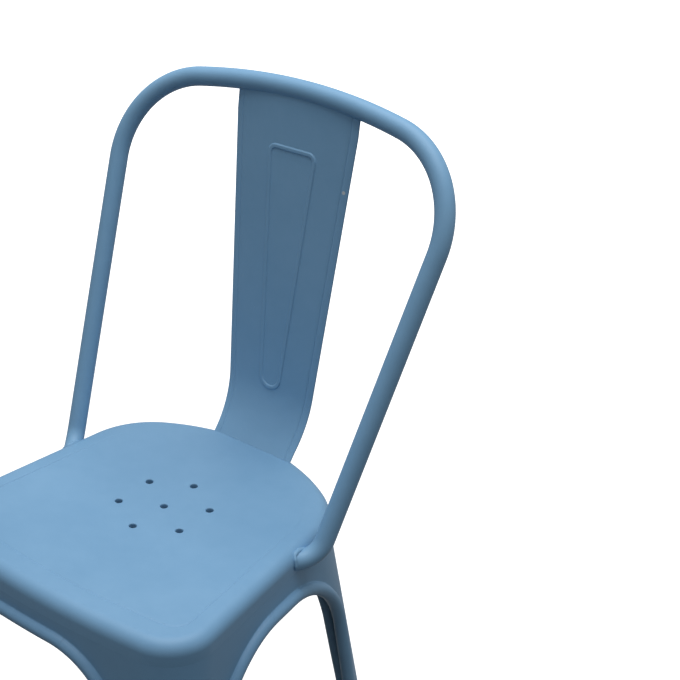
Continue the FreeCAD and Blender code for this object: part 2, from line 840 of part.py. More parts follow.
def add_brace_strips(holder):
    """Two flat strips crossed under the seat, their ends welded inside the legs' corners."""
    strips = []
    for name, sign, level in (("brace_upper_strip", 1, 0.0), ("brace_lower_strip", -1, -1.0)):
        bar = doc.addObject("Part::Box", f"{name}_bar")
        bind(bar, Length="2 * Sizes.seat_height", Width="Sizes.brace_width")
        bind(bar, Height="Sizes.brace_thickness")
        angle = sign * size("brace_angle")
        turn = Rotation(Vector(0, 0, 1), angle)
        height = brace_height + level * size("brace_thickness")
        centre = Vector(0, size("brace_centre"), height)
        half = Vector(-seat_height, -size("brace_width") / 2, 0)
        bar.Placement = Placement(centre + turn.multVec(half), turn)
        holes = [(0.0, size("brace_bolt_diameter") / 2 + size("brace_bolt_clearance"))]
        for side in (-1, 1):
            holes.append((side * size("buffer_spacing"), size("buffer_stem_radius")))
        drills = []
        for number, (along, radius) in enumerate(holes):
            drill = doc.addObject("Part::Cylinder", f"{name}_drill_{number}")
            drill.Radius = radius
            drill.Height = 4 * size("brace_thickness")
            place = centre + turn.multVec(Vector(along, 0, -2 * size("brace_thickness")))
            drill.Placement = Placement(place, Rotation())
            drills.append(drill)
        trimmed = doc.addObject("Part::Common", f"{name}_trimmed")
        trimmed.Base = bar
        trimmed.Tool = holder
        drilling = doc.addObject("Part::MultiFuse", f"{name}_drilling")
        drilling.Shapes = drills
        strip = doc.addObject("Part::Cut", name)
        strip.Label = name
        strip.Base = trimmed
        strip.Tool = drilling
        strips.append(strip)
    return strips


def add_hexagon(name, flats, height):
    """A hexagonal prism by its size across flats."""
    prism = doc.addObject("Part::Prism", name)
    prism.Polygon = 6
    bind(prism, Circumradius=f"{flats} / sqrt(3)", Height=height)
    return prism


def add_bolt_set():
    """Bolt, nut and two washers that clamp the crossed strips together."""
    low = brace_height - size("brace_thickness")
    high = brace_height + size("brace_thickness")
    washer = size("washer_thickness")
    axis = Vector(0, size("brace_centre"), 0)
    head = add_hexagon("bolt_head", "Sizes.brace_bolt_head_flats", "Sizes.brace_bolt_head_height")
    head_low = low - washer - size("brace_bolt_head_height")
    head.Placement = Placement(axis + Vector(0, 0, head_low), Rotation())
    shank = doc.addObject("Part::Cylinder", "bolt_shank")
    bind(shank, Radius="Sizes.brace_bolt_diameter / 2")
    stack = "2 * Sizes.brace_thickness + 2 * Sizes.washer_thickness"
    bind(shank, Height=f"{stack} + Sizes.nut_height + Sizes.brace_bolt_spare")
    shank.Placement = Placement(axis + Vector(0, 0, low - washer), Rotation())
    bolt = doc.addObject("Part::Fuse", "brace_bolt")
    bolt.Label = "brace_bolt"
    bolt.Base = head
    bolt.Tool = shank
    rings = []
    for number, level in enumerate((low - washer, high)):
        disc = doc.addObject("Part::Cylinder", f"washer_disc_{number}")
        bind(disc, Radius="Sizes.washer_diameter / 2", Height="Sizes.washer_thickness")
        disc.Placement = Placement(axis + Vector(0, 0, level), Rotation())
        hole = doc.addObject("Part::Cylinder", f"washer_hole_{number}")
        bore = "Sizes.brace_bolt_diameter / 2 + Sizes.brace_bolt_clearance"
        bind(hole, Radius=bore, Height="Sizes.washer_thickness")
        hole.Placement = disc.Placement
        ring = doc.addObject("Part::Cut", f"washer_ring_{number}")
        ring.Base = disc
        ring.Tool = hole
        rings.append(ring)
    washers = doc.addObject("Part::Compound", "brace_washers")
    washers.Label = "brace_washers"
    washers.Links = rings
    nut_body = add_hexagon("nut_body", "Sizes.brace_bolt_head_flats", "Sizes.nut_height")
    nut_body.Placement = Placement(axis + Vector(0, 0, high + washer), Rotation())
    nut_bore = doc.addObject("Part::Cylinder", "nut_bore")
    bind(nut_bore, Radius="Sizes.brace_bolt_diameter / 2", Height="Sizes.nut_height")
    nut_bore.Placement = nut_body.Placement
    nut = doc.addObject("Part::Cut", "brace_nut")
    nut.Label = "brace_nut"
    nut.Base = nut_body
    nut.Tool = nut_bore
    return [bolt, washers, nut]


def add_buffers():
    """Four soft buffers pushed up through the strips, on which a stacked chair rests."""
    buffers = []
    for name, sign, side in (
        ("stacking_buffer_rear_right", 1, 1),
        ("stacking_buffer_front_left", 1, -1),
        ("stacking_buffer_front_right", -1, 1),
        ("stacking_buffer_rear_left", -1, -1),
    ):
        level = brace_height - (0 if sign > 0 else size("brace_thickness"))
        turn = math.radians(sign * size("brace_angle"))
        along = side * size("buffer_spacing")
        place = Vector(math.cos(turn) * along, size("brace_centre") + math.sin(turn) * along, level)
        head = doc.addObject("Part::Cone", f"{name}_head")
        bind(head, Radius1="Sizes.buffer_tip_share * Sizes.buffer_radius", Radius2="Sizes.buffer_radius")
        bind(head, Height="Sizes.buffer_height")
        head.Placement = Placement(place - Vector(0, 0, size("buffer_height")), Rotation())
        stem = doc.addObject("Part::Cylinder", f"{name}_stem")
        bind(stem, Radius="Sizes.buffer_stem_radius", Height="Sizes.brace_thickness")
        stem.Placement = Placement(place, Rotation())
        barb = doc.addObject("Part::Cone", f"{name}_barb")
        bind(barb, Radius1="Sizes.buffer_barb_radius")
        bind(barb, Radius2="Sizes.buffer_barb_tip_share * Sizes.buffer_barb_radius")
        bind(barb, Height="Sizes.buffer_barb_height")
        top = place + Vector(0, 0, size("brace_thickness"))
        barb.Placement = Placement(top, Rotation())
        buffer = doc.addObject("Part::MultiFuse", name)
        buffer.Label = name
        buffer.Shapes = [head, stem, barb]
        buffers.append(buffer)
    return buffers


def corner_profile(low, arms, width, corner, end_radius):
    """An L round the corner of a foot: outer corner round, inner corner sharp, ends eased."""
    first, last = arms
    points = [
        Vector(low, low + corner, 0),
        Vector(low + corner, low, 0),
        Vector(first - end_radius, low, 0),
        Vector(first, low + end_radius, 0),
        Vector(first, low + width, 0),
        Vector(low + width, low + width, 0),
        Vector(low + width, last, 0),
        Vector(low + end_radius, last, 0),
        Vector(low, last - end_radius, 0),
    ]
    ease = 1 - math.sqrt(0.5)
    round_middle = Vector(low + corner * ease, low + corner * ease, 0)
    first_ease = Vector(first - end_radius * ease, low + end_radius * ease, 0)
    last_ease = Vector(low + end_radius * ease, last - end_radius * ease, 0)
    return [
        Part.Arc(points[0], round_middle, points[1]),
        Part.LineSegment(points[1], points[2]),
        Part.Arc(points[2], first_ease, points[3]),
        Part.LineSegment(points[3], points[4]),
        Part.LineSegment(points[4], points[5]),
        Part.LineSegment(points[5], points[6]),
        Part.LineSegment(points[6], points[7]),
        Part.Arc(points[7], last_ease, points[8]),
        Part.LineSegment(points[8], points[0]),
    ]


def add_feet():
    """Four moulded rubber feet: an L-shaped sole under each leg and a key inside its corner."""
    front = (size("foot_front_half_width"), -size("foot_front_reach"))
    rear = (size("foot_rear_half_width"), size("foot_rear_reach"))
    wide = size("foot_flange_width")
    narrow = size("rear_foot_flange_width")
    key_corner = size("foot_key_corner_share") * (narrow - bead_radius - size("foot_key_gap"))
    feet = []
    for name, (x, y), turn, flanges in (
        ("front_left_foot", (-front[0], front[1]), 0, (wide, wide)),
        ("front_right_foot", front, 90, (wide, wide)),
        ("rear_right_foot", rear, 180, (narrow, wide)),
        ("rear_left_foot", (-rear[0], rear[1]), 270, (wide, narrow)),
    ):
        body = doc.addObject("PartDesign::Body", name)
        body.Label = name
        sole_sketch = add_sketch(body, f"{name}_sole_outline", "XY_Plane")
        sole_sketch.addGeometry(
            corner_profile(
                -size("foot_sole_margin"),
                [flange + bead_radius + size("foot_sole_overhang") for flange in flanges],
                size("foot_sole_width"),
                size("foot_sole_corner"),
                size("foot_sole_margin"),
            ),
            False,
        )
        sole = body.newObject("PartDesign::Pad", f"{name}_sole")
        sole.Profile = sole_sketch
        bind(sole, Length="Sizes.foot_sole_thickness")
        key_sketch = add_sketch(body, f"{name}_key_outline", "XY_Plane")
        key_sketch.addGeometry(
            corner_profile(
                size("foot_key_inset"),
                [flange - bead_radius - size("foot_key_gap") for flange in flanges],
                size("foot_key_width"),
                key_corner,
                size("foot_key_width") / 4,
            ),
            False,
        )
        key = body.newObject("PartDesign::Pad", f"{name}_key")
        key.Profile = key_sketch
        bind(key, Length="Sizes.foot_sole_thickness + Sizes.foot_key_height")
        body.Tip = key
        body.Placement = Placement(Vector(x, y, 0), Rotation(Vector(0, 0, 1), turn))
        feet.append(body)
    return feet


def build():
    """Every sub-part of the chair."""
    parts = [add_seat()]
    parts += add_legs_and_aprons()
    hoop, tube, crown = add_hoop()
    parts += [hoop, add_splat(tube, crown)]
    holder = doc.addObject("Part::Feature", "space_inside_legs")
    holder.Shape = skin_solid(sheet_metal)
    parts += add_brace_strips(holder)
    parts += add_bolt_set()
    parts += add_buffers()
    parts += add_feet()
    return parts


parts = build()
doc.recompute()
for item in doc.Objects:
    if "Invalid" in item.State or "Error" in item.State:
        raise RuntimeError(f"{item.Name} failed: {item.State}")
for part in parts:
    if part.Shape.isNull() or not part.Shape.isValid():
        raise RuntimeError(f"{part.Label} has no valid shape")

os.makedirs("parts", exist_ok=True)
overall = FreeCAD.BoundBox()
for part in parts:
    part.Shape.exportStep(f"parts/{part.Label}.step")
    overall.add(part.Shape.BoundBox)
    solids = len(part.Shape.Solids)
    print(f"{part.Label}: {solids} solid(s), {part.Shape.Volume / 1000:.1f} cm3")
print("overall", overall)
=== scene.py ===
import math

import bmesh
import bpy
import numpy as np
from mathutils import Matrix, Vector
from mathutils.bvhtree import BVHTree
from mathutils.geometry import delaunay_2d_cdt


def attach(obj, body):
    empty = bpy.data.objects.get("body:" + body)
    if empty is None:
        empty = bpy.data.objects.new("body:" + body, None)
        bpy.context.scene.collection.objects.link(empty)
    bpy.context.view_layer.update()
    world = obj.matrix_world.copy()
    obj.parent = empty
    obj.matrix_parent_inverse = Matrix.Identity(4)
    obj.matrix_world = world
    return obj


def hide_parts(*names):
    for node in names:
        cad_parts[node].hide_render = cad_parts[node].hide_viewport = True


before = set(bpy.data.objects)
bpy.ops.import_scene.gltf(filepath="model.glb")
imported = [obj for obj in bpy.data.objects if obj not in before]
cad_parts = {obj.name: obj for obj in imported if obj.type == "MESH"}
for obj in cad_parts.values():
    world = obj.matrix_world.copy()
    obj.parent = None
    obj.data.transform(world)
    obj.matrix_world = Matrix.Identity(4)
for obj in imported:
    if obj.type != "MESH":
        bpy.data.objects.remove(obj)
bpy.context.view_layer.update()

# The viewpoint. The chair is seen from above its front right corner, as large as in the photograph,
# and the left and lower edges of the view crop it.
view_width = 680
focal_length_px = 1418.1
camera_place = Vector((0.8071, -0.9219, 1.2518))
camera_turn = math.radians(39.322)
camera_elevation = math.radians(30.873)
camera_roll = math.radians(1.049)

backward = Vector((
    math.sin(camera_turn) * math.cos(camera_elevation),
    -math.cos(camera_turn) * math.cos(camera_elevation),
    math.sin(camera_elevation),
))
level_right = Vector((math.cos(camera_turn), math.sin(camera_turn), 0))
level_up = backward.cross(level_right)
rolled_right = level_right * math.cos(camera_roll) + level_up * math.sin(camera_roll)
rolled_up = level_up * math.cos(camera_roll) - level_right * math.sin(camera_roll)
lens = bpy.data.cameras.new("viewpoint")
lens.lens = lens.sensor_width * focal_length_px / view_width
lens.shift_x = 0.2
lens.shift_y = 0.14
camera = bpy.data.objects.new("viewpoint", lens)
camera.matrix_world = Matrix.Translation(camera_place) @ Matrix((
    rolled_right, rolled_up, backward
)).transposed().to_4x4()
bpy.context.scene.collection.objects.link(camera)
bpy.context.scene.camera = camera
bpy.context.scene.view_settings.view_transform = "Standard"


# The powder coat and every other finish. A finish is a tree of nodes: add() makes one node,
# and sums and products of its links add the Math nodes between.
class Link:
    """An output of a node, on which Python's arithmetic works."""

    def __init__(self, finish, socket):
        self.finish = finish
        self.socket = socket

    def math(self, operation, first, second):
        return self.finish.add("Math", {"operation": operation}, {0: first, 1: second})

    def __add__(self, other):
        return self.math("ADD", self, other)

    def __radd__(self, other):
        return self.math("ADD", other, self)

    def __mul__(self, other):
        return self.math("MULTIPLY", self, other)

    def __rmul__(self, other):
        return self.math("MULTIPLY", other, self)

    def highest(self, other):
        return self.math("MAXIMUM", self, other)

    def rise(self, low, high):
        """0 below low, 1 above high, with a soft step between."""
        settings = {"interpolation_type": "SMOOTHSTEP"}
        values = {"Value": self, "From Min": low, "From Max": high}
        return self.finish.add("MapRange", settings, values)


class Finish:
    """A material made of nodes."""

    def __init__(self, name):
        self.material = bpy.data.materials.new(name)
        self.material.use_nodes = True
        self.tree = self.material.node_tree
        self.tree.nodes.clear()
        self.place = self.add("TexCoord", output="Object")

    def add(self, kind, settings=None, values=None, output=0):
        node = self.tree.nodes.new("ShaderNode" + kind)
        for name, setting in (settings or {}).items():
            setattr(node, name, setting)
        for name, value in (values or {}).items():
            if isinstance(value, Link):
                self.tree.links.new(value.socket, node.inputs[name])
            else:
                node.inputs[name].default_value = value
        return Link(self, node.outputs[output])

    def noise(self, scale, detail=2.0, roughness=0.5, place=None):
        """Noise between 0 and 1 with so many waves to the metre."""
        values = {"Vector": place or self.place, "Scale": scale}
        values.update({"Detail": detail, "Roughness": roughness})
        return self.add("TexNoise", {}, values)

    def blend(self, share, first, second):
        """From one colour to another by a share."""
        settings = {"data_type": "RGBA"}
        return self.add("Mix", settings, {0: share, 6: first, 7: second}, output=2)

    def stretched(self, x, y, z):
        """The place with its axes scaled, for marks that run one way."""
        settings = {"vector_type": "POINT"}
        return self.add("Mapping", settings, {"Vector": self.place, "Scale": (x, y, z)})

    def distance(self, x, y, z):
        """Metres from a point of the chair."""
        settings = {"operation": "DISTANCE"}
        return self.add("VectorMath", settings, {0: self.place, 1: (x, y, z)}, output="Value")

    def done(self, shader):
        """The material, once its last shader is on its output."""
        output = self.tree.nodes.new("ShaderNodeOutputMaterial")
        self.tree.links.new(shader.socket, output.inputs["Surface"])
        return self.material


def linear(red, green, blue):
    """A colour given as 0 to 255 on screen, as the values that nodes take."""
    shown = [channel / 255 for channel in (red, green, blue)]
    return [c / 12.92 if c <= 0.04045 else ((c + 0.055) / 1.055) ** 2.4 for c in shown] + [1.0]


chip_place = (0.0665, 0.1936, 0.738)
bare_chip = linear(196, 204, 208)
paint_dust = linear(158, 186, 206)


def powder_coat(name, colour, deep_colour, dust_colour=paint_dust, shine=0.3):
    """Satin powder coat: faint orange peel, cloudy gloss, rubbed spots, a little dust, one chip."""
    paint = Finish(name)
    clouds = paint.noise(7.0, 3.0)
    mottle = paint.noise(60.0, 4.0, 0.6)
    shade = (clouds * 0.7 + mottle * 0.3).rise(0.3, 0.75)
    scuff_lines = paint.noise(9.0, 6.0, 0.7, paint.stretched(3.0, 26.0, 9.0))
    scuffs = scuff_lines.rise(0.66, 0.8) * paint.noise(14.0, 2.0).rise(0.52, 0.66)
    specks = paint.noise(420.0, 1.0).rise(0.76, 0.8) * clouds.rise(0.42, 0.6)
    body = paint.blend(shade, deep_colour, colour)
    dusty = paint.blend(specks * 0.3, body, dust_colour)
    scuffed = paint.blend(scuffs * 0.22, dusty, dust_colour)
    chip_edge = (paint.distance(*chip_place) + 0.003 * mottle).rise(0.003, 0.0038)
    chipped = paint.blend(chip_edge, bare_chip, scuffed)
    peel = paint.noise(650.0, 2.0)
    pressed = paint.noise(24.0, 2.0)
    gloss = 0.40 + 0.10 * mottle + 0.12 * scuffs
    waves = paint.add("Bump", {}, {"Strength": 0.22, "Distance": 0.0015, "Height": pressed})
    values = {"Strength": 0.16, "Distance": 0.00025, "Height": peel, "Normal": waves}
    grain = paint.add("Bump", {}, values)
    shader = paint.add("BsdfPrincipled", {}, {
        "Base Color": chipped,
        "Roughness": gloss,
        "Normal": grain,
        "Specular IOR Level": shine,
    })
    return paint.done(shader)


blue_paint = powder_coat("blue_powder_coat", linear(122, 165, 200), linear(114, 158, 194))
rear_paint = powder_coat("blue_powder_coat_rear", linear(118, 158, 190), linear(108, 148, 180))
# A darker copy of the blue paint for the front legs and aprons: painted shade on the skirts under
# the seat's rim.
leg_painted_shade = powder_coat("blue_powder_coat_legs_painted_shade", linear(115, 157, 191), linear(107, 149, 184))
# Near-black paint with little shine for the inner faces of the seat, legs and aprons: painted shade
# inside the chair.
inside_painted_shade = powder_coat(
    "blue_powder_coat_inside_painted_shade", linear(14, 44, 60), linear(11, 38, 53), linear(40, 62, 76), 0.1
)
# A lighter copy of the blue paint for the hoop, splat, welt and welds: painted light on faces that
# look towards the front.
back_painted_light = powder_coat("blue_powder_coat_back_painted_light", linear(127, 170, 204), linear(119, 163, 198))


# The seat pan: one sheet of steel 1.2 mm thick, pressed to a shallow dish with a ring of drain
# holes, its rim rolled down to a short hem. A fine line from the press runs round its front.
MM = 0.001
sheet_thickness = 1.2 * MM
seat_side_reach = 161.2 * MM
seat_side_way = (-0.107, 1)
seat_front_reach, seat_front_curve, seat_front_corner = 195.5 * MM, 1000 * MM, 50 * MM
seat_rear_reach, seat_rear_curve, seat_rear_corner = 162 * MM, 205 * MM, 96 * MM
seat_crest = 440 * MM
seat_dish_depth = 6.5 * MM
seat_dish_radius = 138 * MM
seat_dish_middle = -15 * MM
seat_roll = 14 * MM
skin_top = 416 * MM
press_line_inset = 32.5 * MM
press_line_side_inset = 24.5 * MM
press_line_corner = 20 * MM
press_line_rear_inset = 32 * MM
press_line_rear_corner = 68 * MM
drain_radius = 4 * MM
drain_lip = 1.2 * MM
drain_neck = 7 * MM
drain_ring = 48 * MM
flat_inset = 44 * MM
quarter = math.pi / 2


class Outline:
    """Right half of a level outline: front, corner, side, corner and rear, in that order. Each end
    is given by its reach, the radius of its long curve and that of its corner."""

    def __init__(self, side_point, side_way, front, rear):
        self.way = np.array(side_way) / np.hypot(*side_way)
        self.out = np.array([self.way[1], -self.way[0]])
        self.point = np.array(side_point)
        self.ends = {"front": (-1, *front), "rear": (1, *rear)}

    def corner(self, name):
        """Centre of a corner and the middle of its end's long curve, which may be straight."""
        sign, reach, curve, radius = self.ends[name]
        start = self.point - self.out * radius
        if curve is None:
            along = (sign * (reach - radius) - start[1]) / self.way[1]
            return start + self.way * along, None
        middle = np.array([0.0, sign * (reach - curve)])
        gap = start - middle
        half = gap @ self.way
        rest = gap @ gap - (curve - radius) ** 2
        return start + self.way * (-half + sign * math.sqrt(half * half - rest)), middle

    def corner_ways(self, name):
        """Directions from the corner's centre to the end's edge and to the side."""
        centre, middle = self.corner(name)
        if middle is None:
            return np.array([0.0, self.ends[name][0]]), self.out
        return (centre - middle) / np.hypot(*(centre - middle)), self.out

    def at(self, part, share, inset=0.0):
        """Points of one part of the outline at shares from 0 to 1, anticlockwise. Shares of the
        side from 1 to 2 run on round the rear corner."""
        share = np.asarray(share, float)[..., None]
        if part == "side":
            ends = []
            for name in ("front", "rear"):
                ends.append(self.corner(name)[0] + self.out * (self.ends[name][3] - inset))
            straight = ends[0] * (1 - share) + ends[1] * share
            if share.max() <= 1:
                return straight
            return np.where(share > 1, self.at("rear_corner", share[..., 0] - 1, inset), straight)
        name = part.split("_")[0]
        sign, reach, curve, radius = self.ends[name]
        centre, middle = self.corner(name)
        end_way, side_way = self.corner_ways(name)
        if part.endswith("corner"):
            first, last = (end_way, side_way) if name == "front" else (side_way, end_way)
            return centre + turned(first, last, share) * (radius - inset)
        middle_way = np.array([0.0, sign])
        touch = centre + end_way * (radius - inset)
        if curve is None:
            point = np.array([0.0, sign * (reach - inset)])
            first, last = (point, touch) if name == "front" else (touch, point)
            return first * (1 - share) + last * share
        first, last = (middle_way, end_way) if name == "front" else (end_way, middle_way)
        return middle + turned(first, last, share) * (curve - inset)


def turned(first, last, share):
    """Unit directions between two, by equal angles."""
    start = math.atan2(first[1], first[0])
    turn = math.atan2(last[1], last[0]) - start
    turn = (turn + math.pi) % (2 * math.pi) - math.pi
    angle = start + turn * share
    return np.concatenate([np.cos(angle), np.sin(angle)], axis=-1)


part_steps = {"front": 36, "front_corner": 26, "side": 40, "rear_corner": 34, "rear": 20}
seat_outline = Outline(
    (seat_side_reach, 0), seat_side_way,
    (seat_front_reach, seat_front_curve, seat_front_corner),
    (seat_rear_reach, seat_rear_curve, seat_rear_corner),
)
press_front = (seat_front_reach - press_line_inset, seat_front_curve - press_line_inset)
press_rear = (
    seat_rear_reach - press_line_rear_inset, seat_rear_curve - press_line_rear_inset,
)
press_outline = Outline(
    seat_outline.point - seat_outline.out * press_line_side_inset, seat_side_way,
    (*press_front, press_line_corner), (*press_rear, press_line_rear_corner),
)


def outline_loop(outline, inset):
    """A closed loop of points within an outline."""
    half = []
    for part, steps in part_steps.items():
        half.append(outline.at(part, np.arange(steps) / steps, inset))
    half = np.concatenate(half + [outline.at("rear", [1.0], inset)])
    other = half[1:-1][::-1] * [-1, 1]
    return np.concatenate([half, other])


def seat_loop(inset):
    """A loop within the seat's edge, which past the roll turns into the press line."""
    if inset > press_line_inset:
        return outline_loop(press_outline, inset - press_line_inset)
    start = seat_roll + 2 * MM
    share = max(0.0, (inset - start) / (press_line_inset - start))
    edge = outline_loop(seat_outline, min(inset, start))
    return edge * (1 - share) + outline_loop(press_outline, 0.0) * share


def dish(place):
    """How far the seat's top lies below its crest."""
    x, y = place[..., 0], place[..., 1]
    reach = np.hypot(x, y - seat_dish_middle) / seat_dish_radius
    inside = 1 - reach ** 2
    softness = 0.14
    return seat_dish_depth * (inside + np.sqrt(inside ** 2 + softness ** 2)) / 2


def soft_step(share):
    """From 0 to 1 with a level start and end."""
    return share * share * (3 - 2 * share)


def press_step(place, inset):
    """The press leaves the middle of the seat a little lower, inside a fine line at the front."""
    line_depth, line_width = 0.5 * MM, 0.9 * MM
    step_depth, step_width = 0.25 * MM, 5 * MM
    gone_at, fade_length = 90 * MM, 130 * MM
    fade = np.clip((gone_at - place[..., 1]) / fade_length, 0, 1)
    line = line_depth * np.exp(-((inset - press_line_inset) / line_width) ** 2)
    ramp = np.clip((inset - press_line_inset) / step_width + 0.5, 0, 1)
    return fade * (line + step_depth * soft_step(ramp))


def raised(loop, z):
    """A loop of level points as points in space."""
    return np.concatenate([loop, np.broadcast_to(z, loop.shape[:-1])[..., None]], axis=-1)


def rim_loops(thickness):
    """Loops of the seat's rim, from its hem over the roll to the start of the flat top."""
    loops = [raised(seat_loop(thickness), skin_top)]
    radius = seat_roll - thickness
    for turn in np.linspace(0, quarter, 15):
        loop = seat_loop(seat_roll - radius * math.cos(turn))
        z = seat_crest - seat_roll + radius * math.sin(turn)
        loops.append(raised(loop, z - dish(loop) * math.sin(turn) ** 2))
    for inset in (
        16, 18, 20.5, 23, 26, 28, 29.5, 30.5, 31.1, 31.5, 31.8, 32.1, 32.3, 32.5,
        32.7, 32.9, 33.2, 33.5, 33.9, 34.5, 35.5, 37, 39.5, 42, 44,
    ):
        loop = seat_loop(inset * MM)
        z = seat_crest - thickness - dish(loop) - press_step(loop, inset * MM)
        loops.append(raised(loop, z))
    return np.array(loops)


def add_faces(store, points, faces):
    """Collects points and faces of one piece."""
    start = len(store["points"])
    store["points"].extend(map(tuple, points))
    store["faces"].extend([tuple(start + corner for corner in face) for face in faces])


def add_grid(store, grid, round_again=False, flip=False, inside=False):
    """Quads between the rows and columns of a grid of points."""
    rows, columns = grid.shape[:2]
    faces = []
    for row in range(rows - 1):
        for column in range(columns if round_again else columns - 1):
            beside = (column + 1) % columns
            face = (
                row * columns + column,
                row * columns + beside,
                (row + 1) * columns + beside,
                (row + 1) * columns + column,
            )
            faces.append(face[::-1] if flip else face)
    if inside:
        start = len(store["faces"])
        store["inside"] += range(start, start + len(faces))
    add_faces(store, grid.reshape(-1, 3), faces)


def make_piece(name, store, material, nodes=(), sharp=40):
    """A smooth-shaded piece of the chair, which rides on it."""
    mesh = bpy.data.meshes.new(name)
    mesh.from_pydata(store["points"], [], store["faces"])
    # Faces on the inside of the sheet take the second material, the near-black painted shade.
    for number in store["inside"]:
        mesh.polygons[number].material_index = 1
    piece = bpy.data.objects.new(name, mesh)
    bpy.context.scene.collection.objects.link(piece)
    bpy.context.view_layer.objects.active = piece
    weld_points(mesh)
    mesh.shade_smooth()
    mesh.set_sharp_from_angle(angle=math.radians(sharp))
    mesh.materials.append(material)
    if store["inside"]:
        mesh.materials.append(inside_painted_shade)
    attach(piece, "root")
    if nodes:
        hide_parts(*nodes)


def weld_points(mesh):
    """Joins points that lie on each other, such as those where two grids meet."""
    work = bmesh.new()
    work.from_mesh(mesh)
    bmesh.ops.remove_doubles(work, verts=work.verts, dist=0.004 * MM)
    work.to_mesh(mesh)
    work.free()


def new_store():
    """An empty collection of points and faces."""
    return {"points": [], "faces": [], "inside": []}


# One drain hole is in the middle of the seat and six lie round it.
drain_turns = np.radians(30 + 60 * np.arange(6))
drain_around = drain_ring * np.stack([np.cos(drain_turns), np.sin(drain_turns)], axis=-1)
drain_centres = np.concatenate([np.zeros((1, 2)), drain_around])
drain_points = 28
drain_turn = np.linspace(0, 2 * math.pi, drain_points, endpoint=False)
drain_circle = np.stack([np.cos(drain_turn), np.sin(drain_turn)], axis=-1)


def seat_middle():
    """Points and triangles of the flat middle of the seat, open at the drain holes."""
    rim = seat_loop(flat_inset)
    points = list(rim)
    edges = [(number, (number + 1) % len(rim)) for number in range(len(rim))]
    for hole in drain_centres:
        start = len(points)
        edges += [(start + n, start + (n + 1) % drain_points) for n in range(drain_points)]
        for radius in (4.0, 4.12, 4.35, 4.75, 5.2, 6.0, 7.5, 10.0):
            points += list(hole + drain_circle * radius * MM)
    spacing, furthest = 6 * MM, 160 * MM
    from_hole, from_rim = 13 * MM, 3.5 * MM
    reach = rim.max(axis=0)
    low = rim.min(axis=0)
    for row in range(int((reach[1] - low[1]) / spacing) + 2):
        for column in range(int(2 * reach[0] / spacing) + 2):
            place = low + spacing * np.array([column + 0.5 * (row % 2), row * 0.87])
            clear_of_holes = np.hypot(*(drain_centres - place).T).min() > from_hole
            clear_of_rim = np.hypot(*(rim - place).T).min() > from_rim
            within = np.hypot(*place) < furthest and inside_loop(place, rim)
            if clear_of_holes and clear_of_rim and within:
                points.append(place)
    made = delaunay_2d_cdt([Vector(p) for p in points], edges, [], 1, 1e-7)
    flat = np.array([tuple(point) for point in made[0]])
    faces = []
    for face in made[2]:
        middle = flat[list(face)].mean(axis=0)
        if np.hypot(*(drain_centres - middle).T).min() > drain_radius * 0.99:
            faces.append(tuple(face))
    return flat, faces


def inside_loop(place, loop):
    """Whether a point lies inside a closed loop."""
    run, rise = (np.roll(loop, -1, axis=0) - loop).T
    crosses = (loop[:, 1] > place[1]) != (loop[:, 1] + rise > place[1])
    share = (place[1] - loop[:, 1]) / np.where(crosses, rise, 1)
    return np.count_nonzero(crosses & (place[0] < loop[:, 0] + share * run)) % 2


def drain_drop(flat):
    """The lip of a drain hole turns down by the sheet's thickness."""
    gaps = np.hypot(*(flat[:, None] - drain_centres[None]).transpose(2, 0, 1)).min(axis=1)
    inward = np.clip((drain_radius + drain_lip - gaps) / drain_lip, 0, 1)
    return drain_lip * (1 - np.sqrt(1 - inward ** 2))


seat_store = new_store()
outer_rim = rim_loops(0.0)
inner_rim = rim_loops(sheet_thickness)
add_grid(seat_store, outer_rim, round_again=True)
add_grid(seat_store, inner_rim, round_again=True, flip=True, inside=True)
add_grid(seat_store, np.array([inner_rim[0], outer_rim[0]]), round_again=True)
middle_flat, middle_faces = seat_middle()
middle_z = seat_crest - dish(middle_flat) - press_step(middle_flat, flat_inset)
top_points = raised(middle_flat, middle_z - drain_drop(middle_flat))
add_faces(seat_store, top_points, middle_faces)
under_points = raised(middle_flat, middle_z - sheet_thickness)
add_faces(seat_store, under_points, [face[::-1] for face in middle_faces])
# The punch draws a short neck down round each hole, so that no cut edge lies on top.
neck_inside, neck_outside, neck_ease = drain_radius, drain_radius + sheet_thickness, 0.3 * MM
neck_profile = (
    (neck_inside, sheet_thickness),
    (neck_inside, drain_neck - neck_ease),
    (neck_inside + neck_ease, drain_neck),
    (neck_outside - neck_ease, drain_neck),
    (neck_outside, drain_neck - neck_ease),
    (neck_outside, 1.5 * sheet_thickness),
    (neck_outside + sheet_thickness, sheet_thickness),
)
for hole in drain_centres:
    wall = []
    for radius, depth in neck_profile:
        ring = hole + drain_circle * radius
        z = seat_crest - dish(ring) - depth - press_step(ring, flat_inset)
        wall.append(raised(ring, z))
    add_grid(seat_store, np.array(wall), round_again=True, flip=True)
make_piece("seat_sheet", seat_store, blue_paint, ["seat_pan"])


# The legs and aprons: sheet steel folded round each corner of the chair, with straight sides from
# the seat to the floor. Every free edge is rolled outwards to a round bead 14 mm across. Values
# with "round" are radii of an arch, and those with "middle" say where the centre of one lies.
foot_corner = 13 * MM
sole_top = 6 * MM
front_foot = np.array([215.4, -211.0]) * MM
rear_foot = np.array([206.0, 167.4]) * MM
flange = 42 * MM
rear_flange = 24 * MM
front_crown = 396.7 * MM
front_round = 80 * MM
front_round_middle = 30 * MM
rear_crown = 340 * MM
rear_round = 110 * MM
rear_round_middle = 10 * MM
side_crown = 391 * MM
side_round = 110 * MM
side_round_middle = -28 * MM
side_rear_round = 93 * MM
side_rear_round_middle = 3 * MM
apron_seam = 45 * MM
side_seam = 18 * MM
bead_radius = 7 * MM
flare_radius = 1.5 * MM
bead_sink = 0.12 * MM

floor_outline = Outline(
    front_foot, rear_foot - front_foot,
    (211 * MM, None, foot_corner), (167.4 * MM, None, foot_corner),
)


